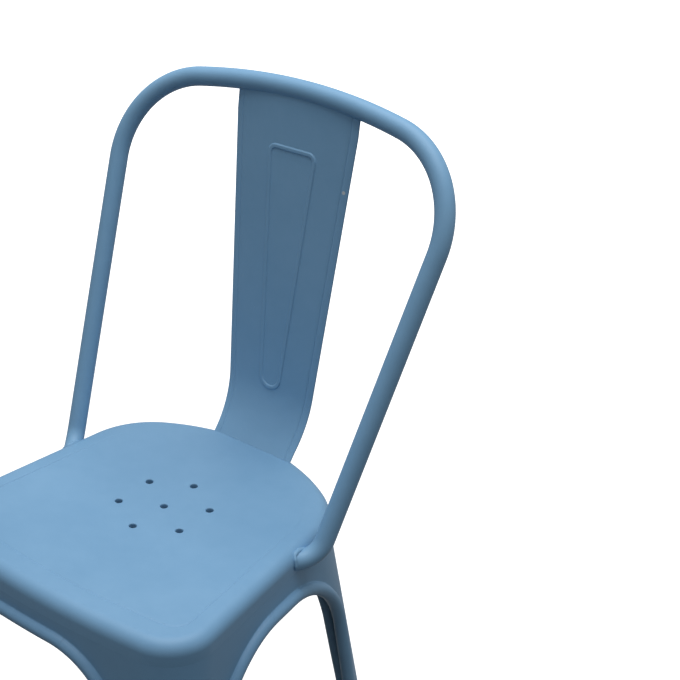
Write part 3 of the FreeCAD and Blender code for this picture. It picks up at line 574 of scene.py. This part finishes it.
def skin(part, share, z, inset=0.0):
    """Points of the skin: straight lines from the floor's outline to the seat's."""
    z = np.asarray(z, float)
    down = ((skin_top - z) / skin_top)[..., None]
    level = seat_outline.at(part, share, inset) * (1 - down)
    level = level + floor_outline.at(part, share, inset) * down
    return np.concatenate([level, np.broadcast_to(z, level.shape[:-1])[..., None]], axis=-1)


def share_at(part, along, z):
    """The share of a face's edge at which a point of the arch lies, seen square on."""
    across = 1 if part == "side" else 0
    shares = np.linspace(0, 2, 801) if part == "side" else np.linspace(0, 1, 401)
    found = []
    for place, height in zip(along, z):
        reached = skin(part, shares, np.full(len(shares), height))[:, across]
        order = np.argsort(reached)
        found.append(np.interp(place, reached[order], shares[order]))
    return np.array(found)


def leg_edge(foot, crown, centre, radius, later):
    """An arch's edge seen square on: up from the foot, round, and along to the seam. The last value
    holds the turn where the first round ends, and the lines and rounds that follow it."""
    sign = 1 if foot > centre else -1
    dx, dz = foot - centre, -(crown - radius)
    swing = math.acos(radius / math.hypot(dx, dz))
    angle = (math.atan2(dz, dx) + sign * swing) % (2 * math.pi)
    way = np.array([math.cos(angle), math.sin(angle)])
    touch = np.array([centre, crown - radius]) + radius * way
    low = np.array([foot, 0.0])
    low = low + (touch - low) * (sole_top / touch[1])
    straight = low + (touch - low) * np.linspace(0, 1, 40)[:, None]
    bend = []
    for kind, *rest in [("arc", centre, radius, angle, later[0])] + later[1]:
        if kind == "arc":
            middle, size, first, last = rest
            turn = np.linspace(first, last, 40)
            place = np.array([middle, crown - size])
            bend.append(place + size * np.stack([np.cos(turn), np.sin(turn)], axis=-1))
        else:
            bend.append(np.array([[rest[0], crown], [rest[1], crown]]))
    bend = np.concatenate(bend)
    gaps = np.hypot(*np.diff(bend, axis=0).T)
    travelled = np.concatenate([[0], np.cumsum(gaps)])
    even = np.linspace(0, travelled[-1], 56)
    bend = np.stack([np.interp(even, travelled, bend[:, axis]) for axis in (0, 1)], axis=-1)
    return np.concatenate([straight[:-1], bend])


front_seam_turn = math.acos((apron_seam - front_round_middle) / front_round)
rear_seam_turn = math.acos((apron_seam - rear_round_middle) / rear_round)
side_seam_turn = math.acos((side_seam - side_rear_round_middle) / side_rear_round)
front_edge = leg_edge(
    front_foot[0] - flange, front_crown, front_round_middle, front_round, (front_seam_turn, [])
)
rear_edge = leg_edge(
    rear_foot[0] - rear_flange, rear_crown, rear_round_middle, rear_round, (rear_seam_turn, [])
)
rear_side_edge = leg_edge(
    rear_foot[1] - flange, side_crown, side_rear_round_middle, side_rear_round,
    (side_seam_turn, []),
)
front_side_edge = leg_edge(
    front_foot[1] + flange, side_crown, side_round_middle, side_round,
    (quarter, [
        ("line", side_round_middle, side_rear_round_middle),
        ("arc", side_rear_round_middle, side_rear_round, quarter, side_seam_turn),
    ]),
)


def with_seam(edge, seam):
    """The edge's points, then up the seam to the seat."""
    rise = np.linspace(edge[-1, 1], skin_top, 12)[1:]
    return np.concatenate([edge, np.stack([np.full(rise.shape, seam), rise], axis=-1)])


def leg_grid(end, end_edge, side_edge, thickness):
    """Rows of points across a leg, from its front or rear edge round the corner to its side."""
    first = with_seam(end_edge, apron_seam)
    last = with_seam(side_edge, side_seam)
    corner = "front_corner" if end == "front" else "side"
    first_share = share_at(end, first[:, 0], first[:, 1])
    last_share = share_at("side", last[:, 0], last[:, 1])
    rows = []
    close = np.array([0, 0.01, 0.03, 0.06])
    spread = np.concatenate([close, np.linspace(0.1, 1, 14)])
    corner_spread = np.linspace(0, 1, 15)[1:-1]
    for (_, z0), (_, z1), s0, s1 in zip(first, last, first_share, last_share):
        if end == "front":
            end_shares = s0 + (1 - s0) * spread
            corner_shares = corner_spread
            side_shares = (s1 * (1 - spread))[::-1]
        else:
            end_shares = s0 * (1 - spread)
            side_end = max(1, s1 + 0.1)
            corner_shares = 2 - (2 - side_end) * corner_spread
            side_shares = (s1 + (side_end - s1) * spread)[::-1]
        count = len(end_shares) + len(corner_shares) + len(side_shares)
        z = z0 + (z1 - z0) * soft_step(np.arange(count) / (count - 1))
        a, b = len(end_shares), len(end_shares) + len(corner_shares)
        rows.append(np.concatenate([
            skin(end, end_shares, z[:a], thickness),
            skin(corner, corner_shares, z[a:b], thickness),
            skin("side", side_shares, z[b:], thickness),
        ]))
    return np.array(rows)


def bead_profile():
    """Across the rolled edge: the sheet flares out of the skin, round and back underneath."""
    reach = math.sqrt((flare_radius + bead_radius) ** 2 - flare_radius ** 2)
    meet = math.atan2(-flare_radius, reach)
    flare = np.linspace(-quarter, meet, 9)
    points = np.stack([
        -reach + flare_radius * np.cos(flare),
        flare_radius + flare_radius * np.sin(flare),
    ], axis=-1)
    points[0, 1] = -bead_sink
    turn = np.linspace(math.pi + meet, -math.pi + math.asin(sheet_thickness / bead_radius), 30)
    circle = bead_radius * np.stack([np.cos(turn), np.sin(turn)], axis=-1)
    return np.concatenate([points, circle[1:]])


def bead_grid(part, edge, into_opening):
    """The rolled edge along one edge of an arch."""
    shares = share_at(part, edge[:, 0], edge[:, 1])
    path = skin(part, shares, edge[:, 1])
    step = 0.002
    beside = skin(part, shares + step, edge[:, 1]) - skin(part, shares - step, edge[:, 1])
    above = skin(part, shares, edge[:, 1] + MM) - skin(part, shares, edge[:, 1] - MM)
    outward = np.cross(beside, above)
    outward /= np.linalg.norm(outward, axis=1)[:, None]
    along = np.gradient(path, axis=0)
    along /= np.linalg.norm(along, axis=1)[:, None]
    aside = np.cross(outward, along)
    aside /= np.linalg.norm(aside, axis=1)[:, None]
    if np.sum(aside[0] * into_opening) < 0:
        aside = -aside
    profile = bead_profile()
    grid = path[:, None] + aside[:, None] * profile[None, :, :1]
    return grid + outward[:, None] * profile[None, :, 1:]


def mirrored(grid):
    """The same grid on the other side of the chair."""
    return grid * [-1, 1, 1]


def add_leg(name, end, end_edge, side_edge, side, material):
    """One leg on one side of the chair."""
    store = new_store()
    outer = leg_grid(end, end_edge, side_edge, 0.0)
    inner = leg_grid(end, end_edge, side_edge, sheet_thickness)
    inward = Vector((-1, 0, 0))
    toward = Vector((0, 1 if end == "front" else -1, 0))
    grids = [
        (outer, end == "rear", False),
        (inner, end == "front", True),
        (bead_grid(end, end_edge, inward), end == "front", False),
        (bead_grid("side", side_edge, toward), end == "rear", False),
    ]
    for grid, flip, inside in grids:
        shown = grid if side > 0 else mirrored(grid)
        add_grid(store, shown, flip=flip if side > 0 else not flip, inside=inside)
    make_piece(name, store, material, [name.replace("_sheet", "")])


for side, side_name in ((1, "right"), (-1, "left")):
    # The front legs take the darker copy of the paint, which is painted shade.
    add_leg(f"front_{side_name}_leg_sheet", "front", front_edge, front_side_edge, side, leg_painted_shade)
    add_leg(f"rear_{side_name}_leg_sheet", "rear", rear_edge, rear_side_edge, side, rear_paint)


def add_apron(name, end, crown, middle, radius, seam_turn):
    """The short stretch of sheet between two legs, under the front or rear of the seat."""
    turn = np.linspace(seam_turn, quarter, 14)
    bend = np.stack([
        middle + radius * np.cos(turn),
        crown - radius + radius * np.sin(turn),
    ], axis=-1)
    flat = np.stack([np.linspace(middle, 0, 8)[1:], np.full(7, crown)], axis=-1)
    half = np.concatenate([bend, flat])
    store = new_store()
    for thickness, inner in ((0.0, False), (sheet_thickness, True)):
        rows = []
        for step in np.linspace(0, 1, 10):
            z = half[:, 1] + (skin_top - half[:, 1]) * step
            places = share_at(end, half[:, 0], z)
            rows.append(skin(end, places, z, thickness))
        grid = np.array(rows)
        flip = (end == "front") == inner
        add_grid(store, grid, flip=not flip, inside=inner)
        add_grid(store, mirrored(grid), flip=flip, inside=inner)
    edge = bead_grid(end, half, Vector((0, 0, -1)))
    add_grid(store, edge)
    add_grid(store, mirrored(edge), flip=True)
    # The aprons take the darker copy of the paint, which is painted shade.
    make_piece(name, store, leg_painted_shade, [name.replace("_sheet", "")])


add_apron(
    "front_apron_sheet", "front", front_crown, front_round_middle, front_round, front_seam_turn
)
add_apron("rear_apron_sheet", "rear", rear_crown, rear_round_middle, rear_round, rear_seam_turn)


# The back hoop: one steel tube, 20 mm across, bent to a tall arch that leans back. At the bottom
# both ends turn in under the line of the seat and are welded to the roll of its rim.
tube_radius = 10 * MM
hoop_origin = Vector((0, 43.3, 433.5)) * MM
hoop_lean = math.radians(21.06)
hoop_splay = math.radians(5.76)
hoop_half_width = 169.4 * MM
hoop_rise = 424.4 * MM
hoop_top_curve = 646.7 * MM
hoop_corner = 95.8 * MM
hoop_bow = 12.4 * MM
hoop_bend_drop = 8 * MM
hoop_bend = 30 * MM
hoop_end = Vector((153, 19, 0)) * MM


def bend_points(before, corner, after, radius, count):
    """Points of the round that takes a path past a corner."""
    back = (before - corner).normalized()
    ahead = (after - corner).normalized()
    half = math.acos(back.dot(ahead)) / 2
    inward = (back + ahead).normalized()
    middle = corner + inward * (radius / math.sin(half))
    start = corner + back * (radius / math.tan(half)) - middle
    axis = start.cross(corner + ahead * (radius / math.tan(half)) - middle)
    turn = math.pi - 2 * half
    return [middle + Matrix.Rotation(turn * step / (count - 1), 3, axis) @ start
            for step in range(count)]


def hoop_path():
    """Middle of the tube from its right end round to its left end."""
    across = Vector((1, 0, 0))
    up = Vector((0, math.sin(hoop_lean), math.cos(hoop_lean)))
    back = Vector((0, math.cos(hoop_lean), -math.sin(hoop_lean)))
    side_low = hoop_origin + across * hoop_half_width
    side_way = across * math.sin(hoop_splay) + up * math.cos(hoop_splay)
    top_middle = hoop_rise - hoop_top_curve
    start = hoop_half_width - hoop_corner / math.cos(hoop_splay)
    slope = math.tan(hoop_splay)
    a = 1 + slope * slope
    b = 2 * (start * slope - top_middle)
    c = start * start + top_middle ** 2 - (hoop_top_curve - hoop_corner) ** 2
    rise = (-b + math.sqrt(b * b - 4 * a * c)) / (2 * a)
    tilt = math.atan2(start + slope * rise, rise - top_middle)
    touch_x = hoop_top_curve * math.sin(tilt)
    touch_y = top_middle + hoop_top_curve * math.cos(tilt)
    reach = hoop_corner * math.tan((quarter + hoop_splay - tilt) / 2)
    corner = hoop_origin + across * (touch_x + reach * math.cos(tilt))
    corner += up * (touch_y - reach * math.sin(tilt))
    bow = hoop_bow / (reach * math.cos(tilt) + touch_x / 2)
    way = across * -math.cos(tilt) + up * math.sin(tilt) + back * (bow * math.cos(tilt))
    rounded = bend_points(side_low, corner, corner + way, hoop_corner, 44)
    top_touch = rounded[-1]
    lift = Vector((0, way.y, way.z))
    swing = math.atan2(lift.length, -way.x)
    crest = Vector((0, top_touch.y, top_touch.z))
    crest += lift.normalized() * (top_touch.x * math.tan(swing))
    top_radius = top_touch.x / math.sin(swing)
    left_touch = Vector((-top_touch.x, top_touch.y, top_touch.z))
    over = bend_points(top_touch, crest, left_touch, top_radius, 41)[1:21]
    elbow = side_low - side_way * (hoop_bend_drop / side_way.z)
    end = Vector((hoop_end.x, hoop_end.y, elbow.z))
    low = bend_points(end, elbow, corner, hoop_bend, 20)
    straight = [low[-1].lerp(rounded[0], step / 60) for step in range(1, 60)]
    half = [end] + low + straight + rounded + over
    left = [Vector((-point.x, point.y, point.z)) for point in half[:-1]]
    return np.array(half + left[::-1])


def ways_across(path):
    """Two directions across a path that turn with it and do not twist."""
    along = np.gradient(path, axis=0)
    along /= np.linalg.norm(along, axis=1)[:, None]
    first = np.cross(along[0], [0, 0, 1.0])
    sides = [first / np.linalg.norm(first)]
    for way in along[1:]:
        side = sides[-1] - way * np.dot(sides[-1], way)
        sides.append(side / np.linalg.norm(side))
    sides = np.array(sides)
    return sides, np.cross(along, sides)


def tube_grid(path, radius, around=48):
    """Rings of points along a path."""
    sides, others = ways_across(path)
    turn = np.linspace(0, 2 * math.pi, around, endpoint=False)
    rings = sides[:, None] * np.cos(turn)[None, :, None]
    rings = rings + others[:, None] * np.sin(turn)[None, :, None]
    radius = np.broadcast_to(radius, len(path))
    return path[:, None] + rings * radius[:, None, None]


def landed(surface, points, way, reach):
    """Points moved along a way until they meet a surface, and by the whole reach if they miss."""
    way = Vector(way)
    result = []
    for point in map(Vector, points):
        hit = surface.ray_cast(point, way, reach)[0]
        result.append(hit or point + way * reach)
    return np.array(result)


seat_surface = BVHTree.FromPolygons(seat_store["points"], seat_store["faces"])
tube_path = hoop_path()
hoop_grid = tube_grid(tube_path, tube_radius)
hoop_store = new_store()
start_back = 30 * MM
cap_rise = 1.5 * MM
for end_ring, next_ring in ((0, 1), (-1, -2)):
    way = tube_path[end_ring] - tube_path[next_ring]
    way /= np.linalg.norm(way)
    landing = landed(seat_surface, hoop_grid[end_ring] - way * start_back, way, start_back)
    hoop_grid[end_ring] = landing
    middle = tube_path[end_ring]
    cap = [landing]
    for share in (0.97, 0.85, 0.6, 0.3, 0.02):
        dome = way * cap_rise * math.sqrt(1 - share ** 2)
        cap.append(middle + (landing - middle) * share + dome)
    add_grid(hoop_store, np.array(cap), round_again=True, flip=end_ring == 0)
add_grid(hoop_store, hoop_grid, round_again=True, flip=True)
# The hoop takes the lighter copy of the paint, which is painted light.
make_piece("back_hoop_tube", hoop_store, back_painted_light, ["back_hoop"])


def weld_bead(name, loop, radius, closed=True):
    """A dressed weld: an uneven round bead along a joint."""
    if closed:
        loop = np.concatenate([loop, loop[:2]])
        radius = np.concatenate([radius, radius[:2]])
    travelled = np.concatenate([[0], np.cumsum(np.linalg.norm(np.diff(loop, axis=0), axis=1))])
    ripple = 1 + 0.10 * np.sin(travelled / (1.1 * MM)) + 0.08 * np.sin(travelled / (3.7 * MM) + 1)
    store = new_store()
    add_grid(store, tube_grid(loop, radius * ripple, 12), round_again=True)
    # Welds take the lighter copy of the paint, which is painted light.
    make_piece(name, store, back_painted_light)


hoop_weld_low, hoop_weld_gain = 0.7 * MM, 2.0 * MM
for ring, name in ((hoop_grid[0], "hoop_weld_right"), (hoop_grid[-1], "hoop_weld_left")):
    height = (ring[:, 2] - ring[:, 2].min()) / np.ptp(ring[:, 2])
    weld_bead(name, ring, hoop_weld_low + hoop_weld_gain * height ** 2)


# The splat: a tapered strip of sheet with its edges hemmed back flat, bent at the foot to lie on
# the seat's rear roll, and stiffened by a long raised welt. It is welded at both ends. The groove
# beside each hem is given in millimetres, by the way inwards from the hem's edge and the depth.
splat_foot = np.array([140.4, 433.5]) * MM
splat_foot_angle = math.radians(38)
splat_foot_rise = 16.5 * MM
splat_bend = 103 * MM
splat_lean = math.radians(4.696)
splat_half_width = 51.9 * MM
splat_taper = 0.0635
splat_hem = 8 * MM
splat_hem_lean = 1.2 * MM
splat_start, splat_end = -14 * MM, 402 * MM
splat_weld_radius = 1.3 * MM
splat_foot_search, splat_top_search = 45 * MM, 30 * MM
hem_groove = ((1.2, 0), (0.8, 0.14), (0.4, 0.5), (0, 0.64), (-0.4, 0.5), (-0.8, 0.16))
hem_groove_reach = 1.3 * MM
hem_ease = 0.2 * MM
welt_width = 5.5 * MM
welt_height = 1.2 * MM
welt_flank_share = 0.55
welt_sink = 0.02 * MM
welt_top = 335 * MM
welt_bottom = 66 * MM
welt_shoulder = 20.5 * MM
welt_shoulder_radius = 10 * MM
welt_foot_radius = 15 * MM


def splat_side_view(travel):
    """Places (y, z) of the splat's front and the way behind it, by travel up from its foot."""
    low_way = np.array([math.sin(splat_foot_angle), math.cos(splat_foot_angle)])
    high_way = np.array([math.sin(splat_lean), math.cos(splat_lean)])
    low_length = splat_foot_rise / low_way[1]
    bend_length = splat_bend * (splat_foot_angle - splat_lean)
    low_end = splat_foot + low_way * low_length
    middle = low_end + splat_bend * np.array([-low_way[1], low_way[0]])
    angle = splat_foot_angle - np.clip((travel - low_length) / splat_bend, 0, None)
    angle = np.clip(angle, splat_lean, splat_foot_angle)
    behind = np.stack([np.cos(angle), -np.sin(angle)], axis=-1)
    place = middle + splat_bend * behind
    place = place + np.clip(travel - low_length, None, 0)[:, None] * low_way
    place = place + np.clip(travel - low_length - bend_length, 0, None)[:, None] * high_way
    return place, behind


def splat_section():
    """Right half of the splat across: distance in from its edge, or from the middle, and depth."""
    outer = [("middle", s, 0.0) for s in np.linspace(0, 1, 12)[:-1]]
    for aside, depth in hem_groove:
        outer.append(("edge", splat_hem + aside * MM, depth * MM))
    fold = sheet_thickness
    for distance in np.linspace(splat_hem - hem_groove_reach, fold, 8):
        outer.append(("edge", distance, splat_hem_lean * (1 - distance / splat_hem) ** 2))
    depth = outer[-1][2]
    for turn in np.linspace(0, 2 * quarter, 11)[1:]:
        outer.append(("edge", fold * (1 - math.sin(turn)), depth + fold * (1 - math.cos(turn))))
    back = 2 * fold
    outer.append(("edge", splat_hem / 2, back + hem_ease / 2))
    outer.append(("edge", splat_hem - hem_ease, back))
    outer.append(("edge", splat_hem, back - hem_ease))
    outer.append(("edge", splat_hem, fold))
    outer += [("middle", s, fold) for s in np.linspace(1, 0, 6)[1:]]
    return outer


def splat_width(z):
    """Half the splat's width at a height."""
    return splat_half_width + splat_taper * (z - splat_foot[1])


# The rows lie closer together round the splat's bend. The first and the last of them are spread
# anew, once the ends have landed on the seat and on the hoop.
foot_rows = 8
top_rows = 6
splat_travel = np.concatenate([
    np.linspace(splat_start, 24 * MM, 10), np.linspace(26 * MM, 88 * MM, 32),
    np.linspace(92 * MM, splat_end, 60),
])
splat_places, splat_behind = splat_side_view(splat_travel)
section = splat_section()
splat_rows = []
for (y, z), (by, bz) in zip(splat_places, splat_behind):
    half = []
    width = splat_width(z)
    for kind, distance, depth in section:
        x = (width - splat_hem) * distance if kind == "middle" else width - distance
        half.append((x, y + by * depth, z + bz * depth))
    half = np.array(half)
    splat_rows.append(np.concatenate([half, mirrored(half[1:-1])[::-1]]))
splat_grid = np.array(splat_rows)
hoop_surface = BVHTree.FromPolygons(hoop_store["points"], hoop_store["faces"])
foot_way = (0, -math.sin(splat_foot_angle), -math.cos(splat_foot_angle))
top_way = (0, math.sin(splat_lean), math.cos(splat_lean))
lowest, highest = splat_grid[foot_rows], splat_grid[-top_rows - 1]
splat_grid[0] = landed(seat_surface, lowest, foot_way, splat_foot_search)
splat_grid[-1] = landed(hoop_surface, highest, top_way, splat_top_search)
for row in range(1, foot_rows):
    share = row / foot_rows
    splat_grid[row] = splat_grid[0] * (1 - share) + lowest * share
for row in range(1, top_rows):
    share = row / top_rows
    splat_grid[row - top_rows - 1] = highest * (1 - share) + splat_grid[-1] * share
splat_store = new_store()
add_grid(splat_store, splat_grid, round_again=True)
# The splat takes the lighter copy of the paint, which is painted light.
make_piece("back_splat_sheet", splat_store, back_painted_light, ["back_splat"], sharp=50)


def welt_line():
    """The welt's middle line as (across, up from the dish): two shoulders and a round foot."""
    shoulder = np.array([welt_shoulder, welt_top - welt_shoulder_radius])
    foot = np.array([0.0, welt_bottom + welt_foot_radius])
    gap = shoulder - foot
    lean = math.asin((welt_shoulder_radius - welt_foot_radius) / np.hypot(*gap))
    out = math.atan2(gap[1], gap[0]) - quarter - lean
    inner_shoulder = welt_shoulder_radius - welt_width / 2
    inner_foot = welt_foot_radius - welt_width / 2
    points = []
    for turn in np.linspace(-quarter, out, 14):
        points.append(foot + inner_foot * np.array([math.cos(turn), math.sin(turn)]))
    start = points[-1]
    stop = shoulder + inner_shoulder * np.array([math.cos(out), math.sin(out)])
    points += [start + (stop - start) * share for share in np.linspace(0, 1, 50)[1:-1]]
    for turn in np.linspace(out, quarter, 16):
        points.append(shoulder + inner_shoulder * np.array([math.cos(turn), math.sin(turn)]))
    points += [points[-1] * [share, 1] for share in np.linspace(1, 0, 8)[1:]]
    right = np.array(points)
    return np.concatenate([right, (right[1:-1] * [-1, 1])[::-1]])


def on_splat(across, up, proud):
    """Points in front of the splat's face, by height above the bottom of the seat's dish."""
    travel = np.linspace(0, splat_end, 800)
    places, behind = splat_side_view(travel)
    height = splat_foot[1] + up
    y = np.interp(height, places[:, 1], places[:, 0])
    by = np.interp(height, places[:, 1], behind[:, 0])
    bz = np.interp(height, places[:, 1], behind[:, 1])
    return np.stack([across, y - by * proud, height - bz * proud], axis=-1)


welt = welt_line()
welt_way = np.roll(welt, -1, axis=0) - np.roll(welt, 1, axis=0)
welt_way /= np.hypot(*welt_way.T)[:, None]
welt_side = np.stack([welt_way[:, 1], -welt_way[:, 0]], axis=-1)
welt_columns = []
for share in np.linspace(-1, 1, 17):
    line = welt + welt_side * share * welt_width / 2
    rise = min(1.0, (1 - abs(share)) / welt_flank_share)
    proud = welt_height * soft_step(rise) - welt_sink
    welt_columns.append(on_splat(line[:, 0], line[:, 1], proud))
welt_store = new_store()
add_grid(welt_store, np.array(welt_columns), round_again=True, flip=True)
# The welt takes the lighter copy of the paint, which is painted light.
make_piece("back_splat_welt", welt_store, back_painted_light)
rear_columns = slice(len(section) - 6, len(section) + 5)
for ring, name in ((splat_grid[0], "splat_weld_seat"), (splat_grid[-1], "splat_weld_hoop")):
    weld_bead(name, ring[rear_columns], splat_weld_radius, closed=False)


# The brace, its bolt and the soft parts, none of which shows in the photograph: two painted strips
# crossed under the seat, a plated bolt, nut and washers, four rubber buffers and four rubber feet.
def plated_steel():
    """Bright zinc plate, a little cloudy."""
    zinc = Finish("zinc_plate")
    clouds = zinc.noise(300.0, 3.0)
    tone = zinc.blend(clouds.rise(0.35, 0.7), linear(186, 188, 190), linear(214, 216, 214))
    shader = zinc.add("BsdfPrincipled", {}, {
        "Base Color": tone,
        "Metallic": 1.0,
        "Roughness": 0.26 + 0.18 * clouds,
    })
    return zinc.done(shader)


def black_rubber():
    """Moulded black rubber with a fine bloom and a rubbed lower edge."""
    rubber = Finish("black_rubber")
    bloom = rubber.noise(45.0, 4.0, 0.6)
    grain = rubber.noise(1500.0, 2.0)
    tone = rubber.blend(bloom.rise(0.4, 0.75), linear(36, 37, 39), linear(62, 63, 64))
    bump = rubber.add("Bump", {}, {"Strength": 0.3, "Distance": 0.0002, "Height": grain})
    shader = rubber.add("BsdfPrincipled", {}, {
        "Base Color": tone,
        "Roughness": 0.62 + 0.2 * bloom,
        "Normal": bump,
    })
    return rubber.done(shader)


def dress(names, material, edge):
    """Gives CAD pieces their finish and eases their sharp edges."""
    for name in names:
        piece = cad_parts[name]
        piece.data.materials.clear()
        piece.data.materials.append(material)
        bevel = piece.modifiers.new("eased_edges", "BEVEL")
        bevel.width = edge
        bevel.segments = 2
        bevel.limit_method = "ANGLE"
        bevel.angle_limit = math.radians(40)
        bevel.harden_normals = True


sides = ("front_right", "front_left", "rear_right", "rear_left")
dress(["brace_upper_strip", "brace_lower_strip"], rear_paint, 0.3 * MM)
dress(["brace_bolt", "brace_washers", "brace_nut"], plated_steel(), 0.25 * MM)
rubber = black_rubber()
dress([f"stacking_buffer_{side}" for side in sides], rubber, 0.5 * MM)
dress([f"{side}_foot" for side in sides], rubber, 0.6 * MM)


# The studio: a pale floor that shows white to the camera and keeps the chair's shadow, soft light
# from a wide lamp overhead, and an even sky.
def studio_floor():
    """White where the camera sees it, and dull to the light that falls on the chair."""
    floor = Finish("studio_floor")
    seen = floor.add("LightPath", output="Is Camera Ray")
    far = floor.distance(0.0, 0.0, 0.0).rise(0.7, 2.6)
    mirrored_ray = floor.add("LightPath", output="Is Glossy Ray")
    through = floor.add("LightPath", output="Is Transmission Ray")
    pale = floor.add("BsdfDiffuse", {}, {"Color": (0.84, 0.84, 0.84, 1)})
    near_glow, far_glow = (0.5, 0.5, 0.5, 1), (1, 1, 1, 1)
    glow = floor.add("Emission", {}, {"Color": floor.blend(far, near_glow, far_glow)})
    bright = floor.add("AddShader", {}, {0: pale, 1: glow})
    dull = floor.add("BsdfDiffuse", {}, {"Color": (0.03, 0.03, 0.03, 1)})
    shown = seen.highest(mirrored_ray * 0.35).highest(through)
    return floor.done(floor.add("MixShader", {}, {0: shown, 1: dull, 2: bright}))


floor_mesh = bpy.data.meshes.new("floor")
floor_reach = 9
floor_mesh.from_pydata(
    [(x * floor_reach, y * floor_reach, 0) for x, y in ((-1, -1), (1, -1), (1, 1), (-1, 1))],
    [], [(0, 1, 2, 3)],
)
floor_mesh.materials.append(studio_floor())
floor_piece = bpy.data.objects.new("floor", floor_mesh)
bpy.context.scene.collection.objects.link(floor_piece)

softbox = bpy.data.lights.new("softbox", "AREA")
softbox.shape = "SQUARE"
softbox.size = 2.6
softbox.energy = 76
softbox_object = bpy.data.objects.new("softbox", softbox)
softbox_object.location = (-0.1, 0.3, 3.2)
bpy.context.scene.collection.objects.link(softbox_object)
softbox_object.rotation_euler = (math.radians(-6), math.radians(-2), 0)

world = bpy.data.worlds.new("sky")
bpy.context.scene.world = world
world.use_nodes = True
nodes = world.node_tree.nodes
links = world.node_tree.links
nodes.clear()
ray = nodes.new("ShaderNodeLightPath")
sky = nodes.new("ShaderNodeBackground")
sky.inputs["Color"].default_value = (0.97, 0.985, 1.0, 1)
sky.inputs["Strength"].default_value = 0.36
white = nodes.new("ShaderNodeBackground")
white.inputs["Color"].default_value = (1, 1, 1, 1)
white.inputs["Strength"].default_value = 1.0
pick = nodes.new("ShaderNodeMixShader")
surface = nodes.new("ShaderNodeOutputWorld")
links.new(ray.outputs["Is Camera Ray"], pick.inputs[0])
links.new(sky.outputs[0], pick.inputs[1])
links.new(white.outputs[0], pick.inputs[2])
links.new(pick.outputs[0], surface.inputs["Surface"])
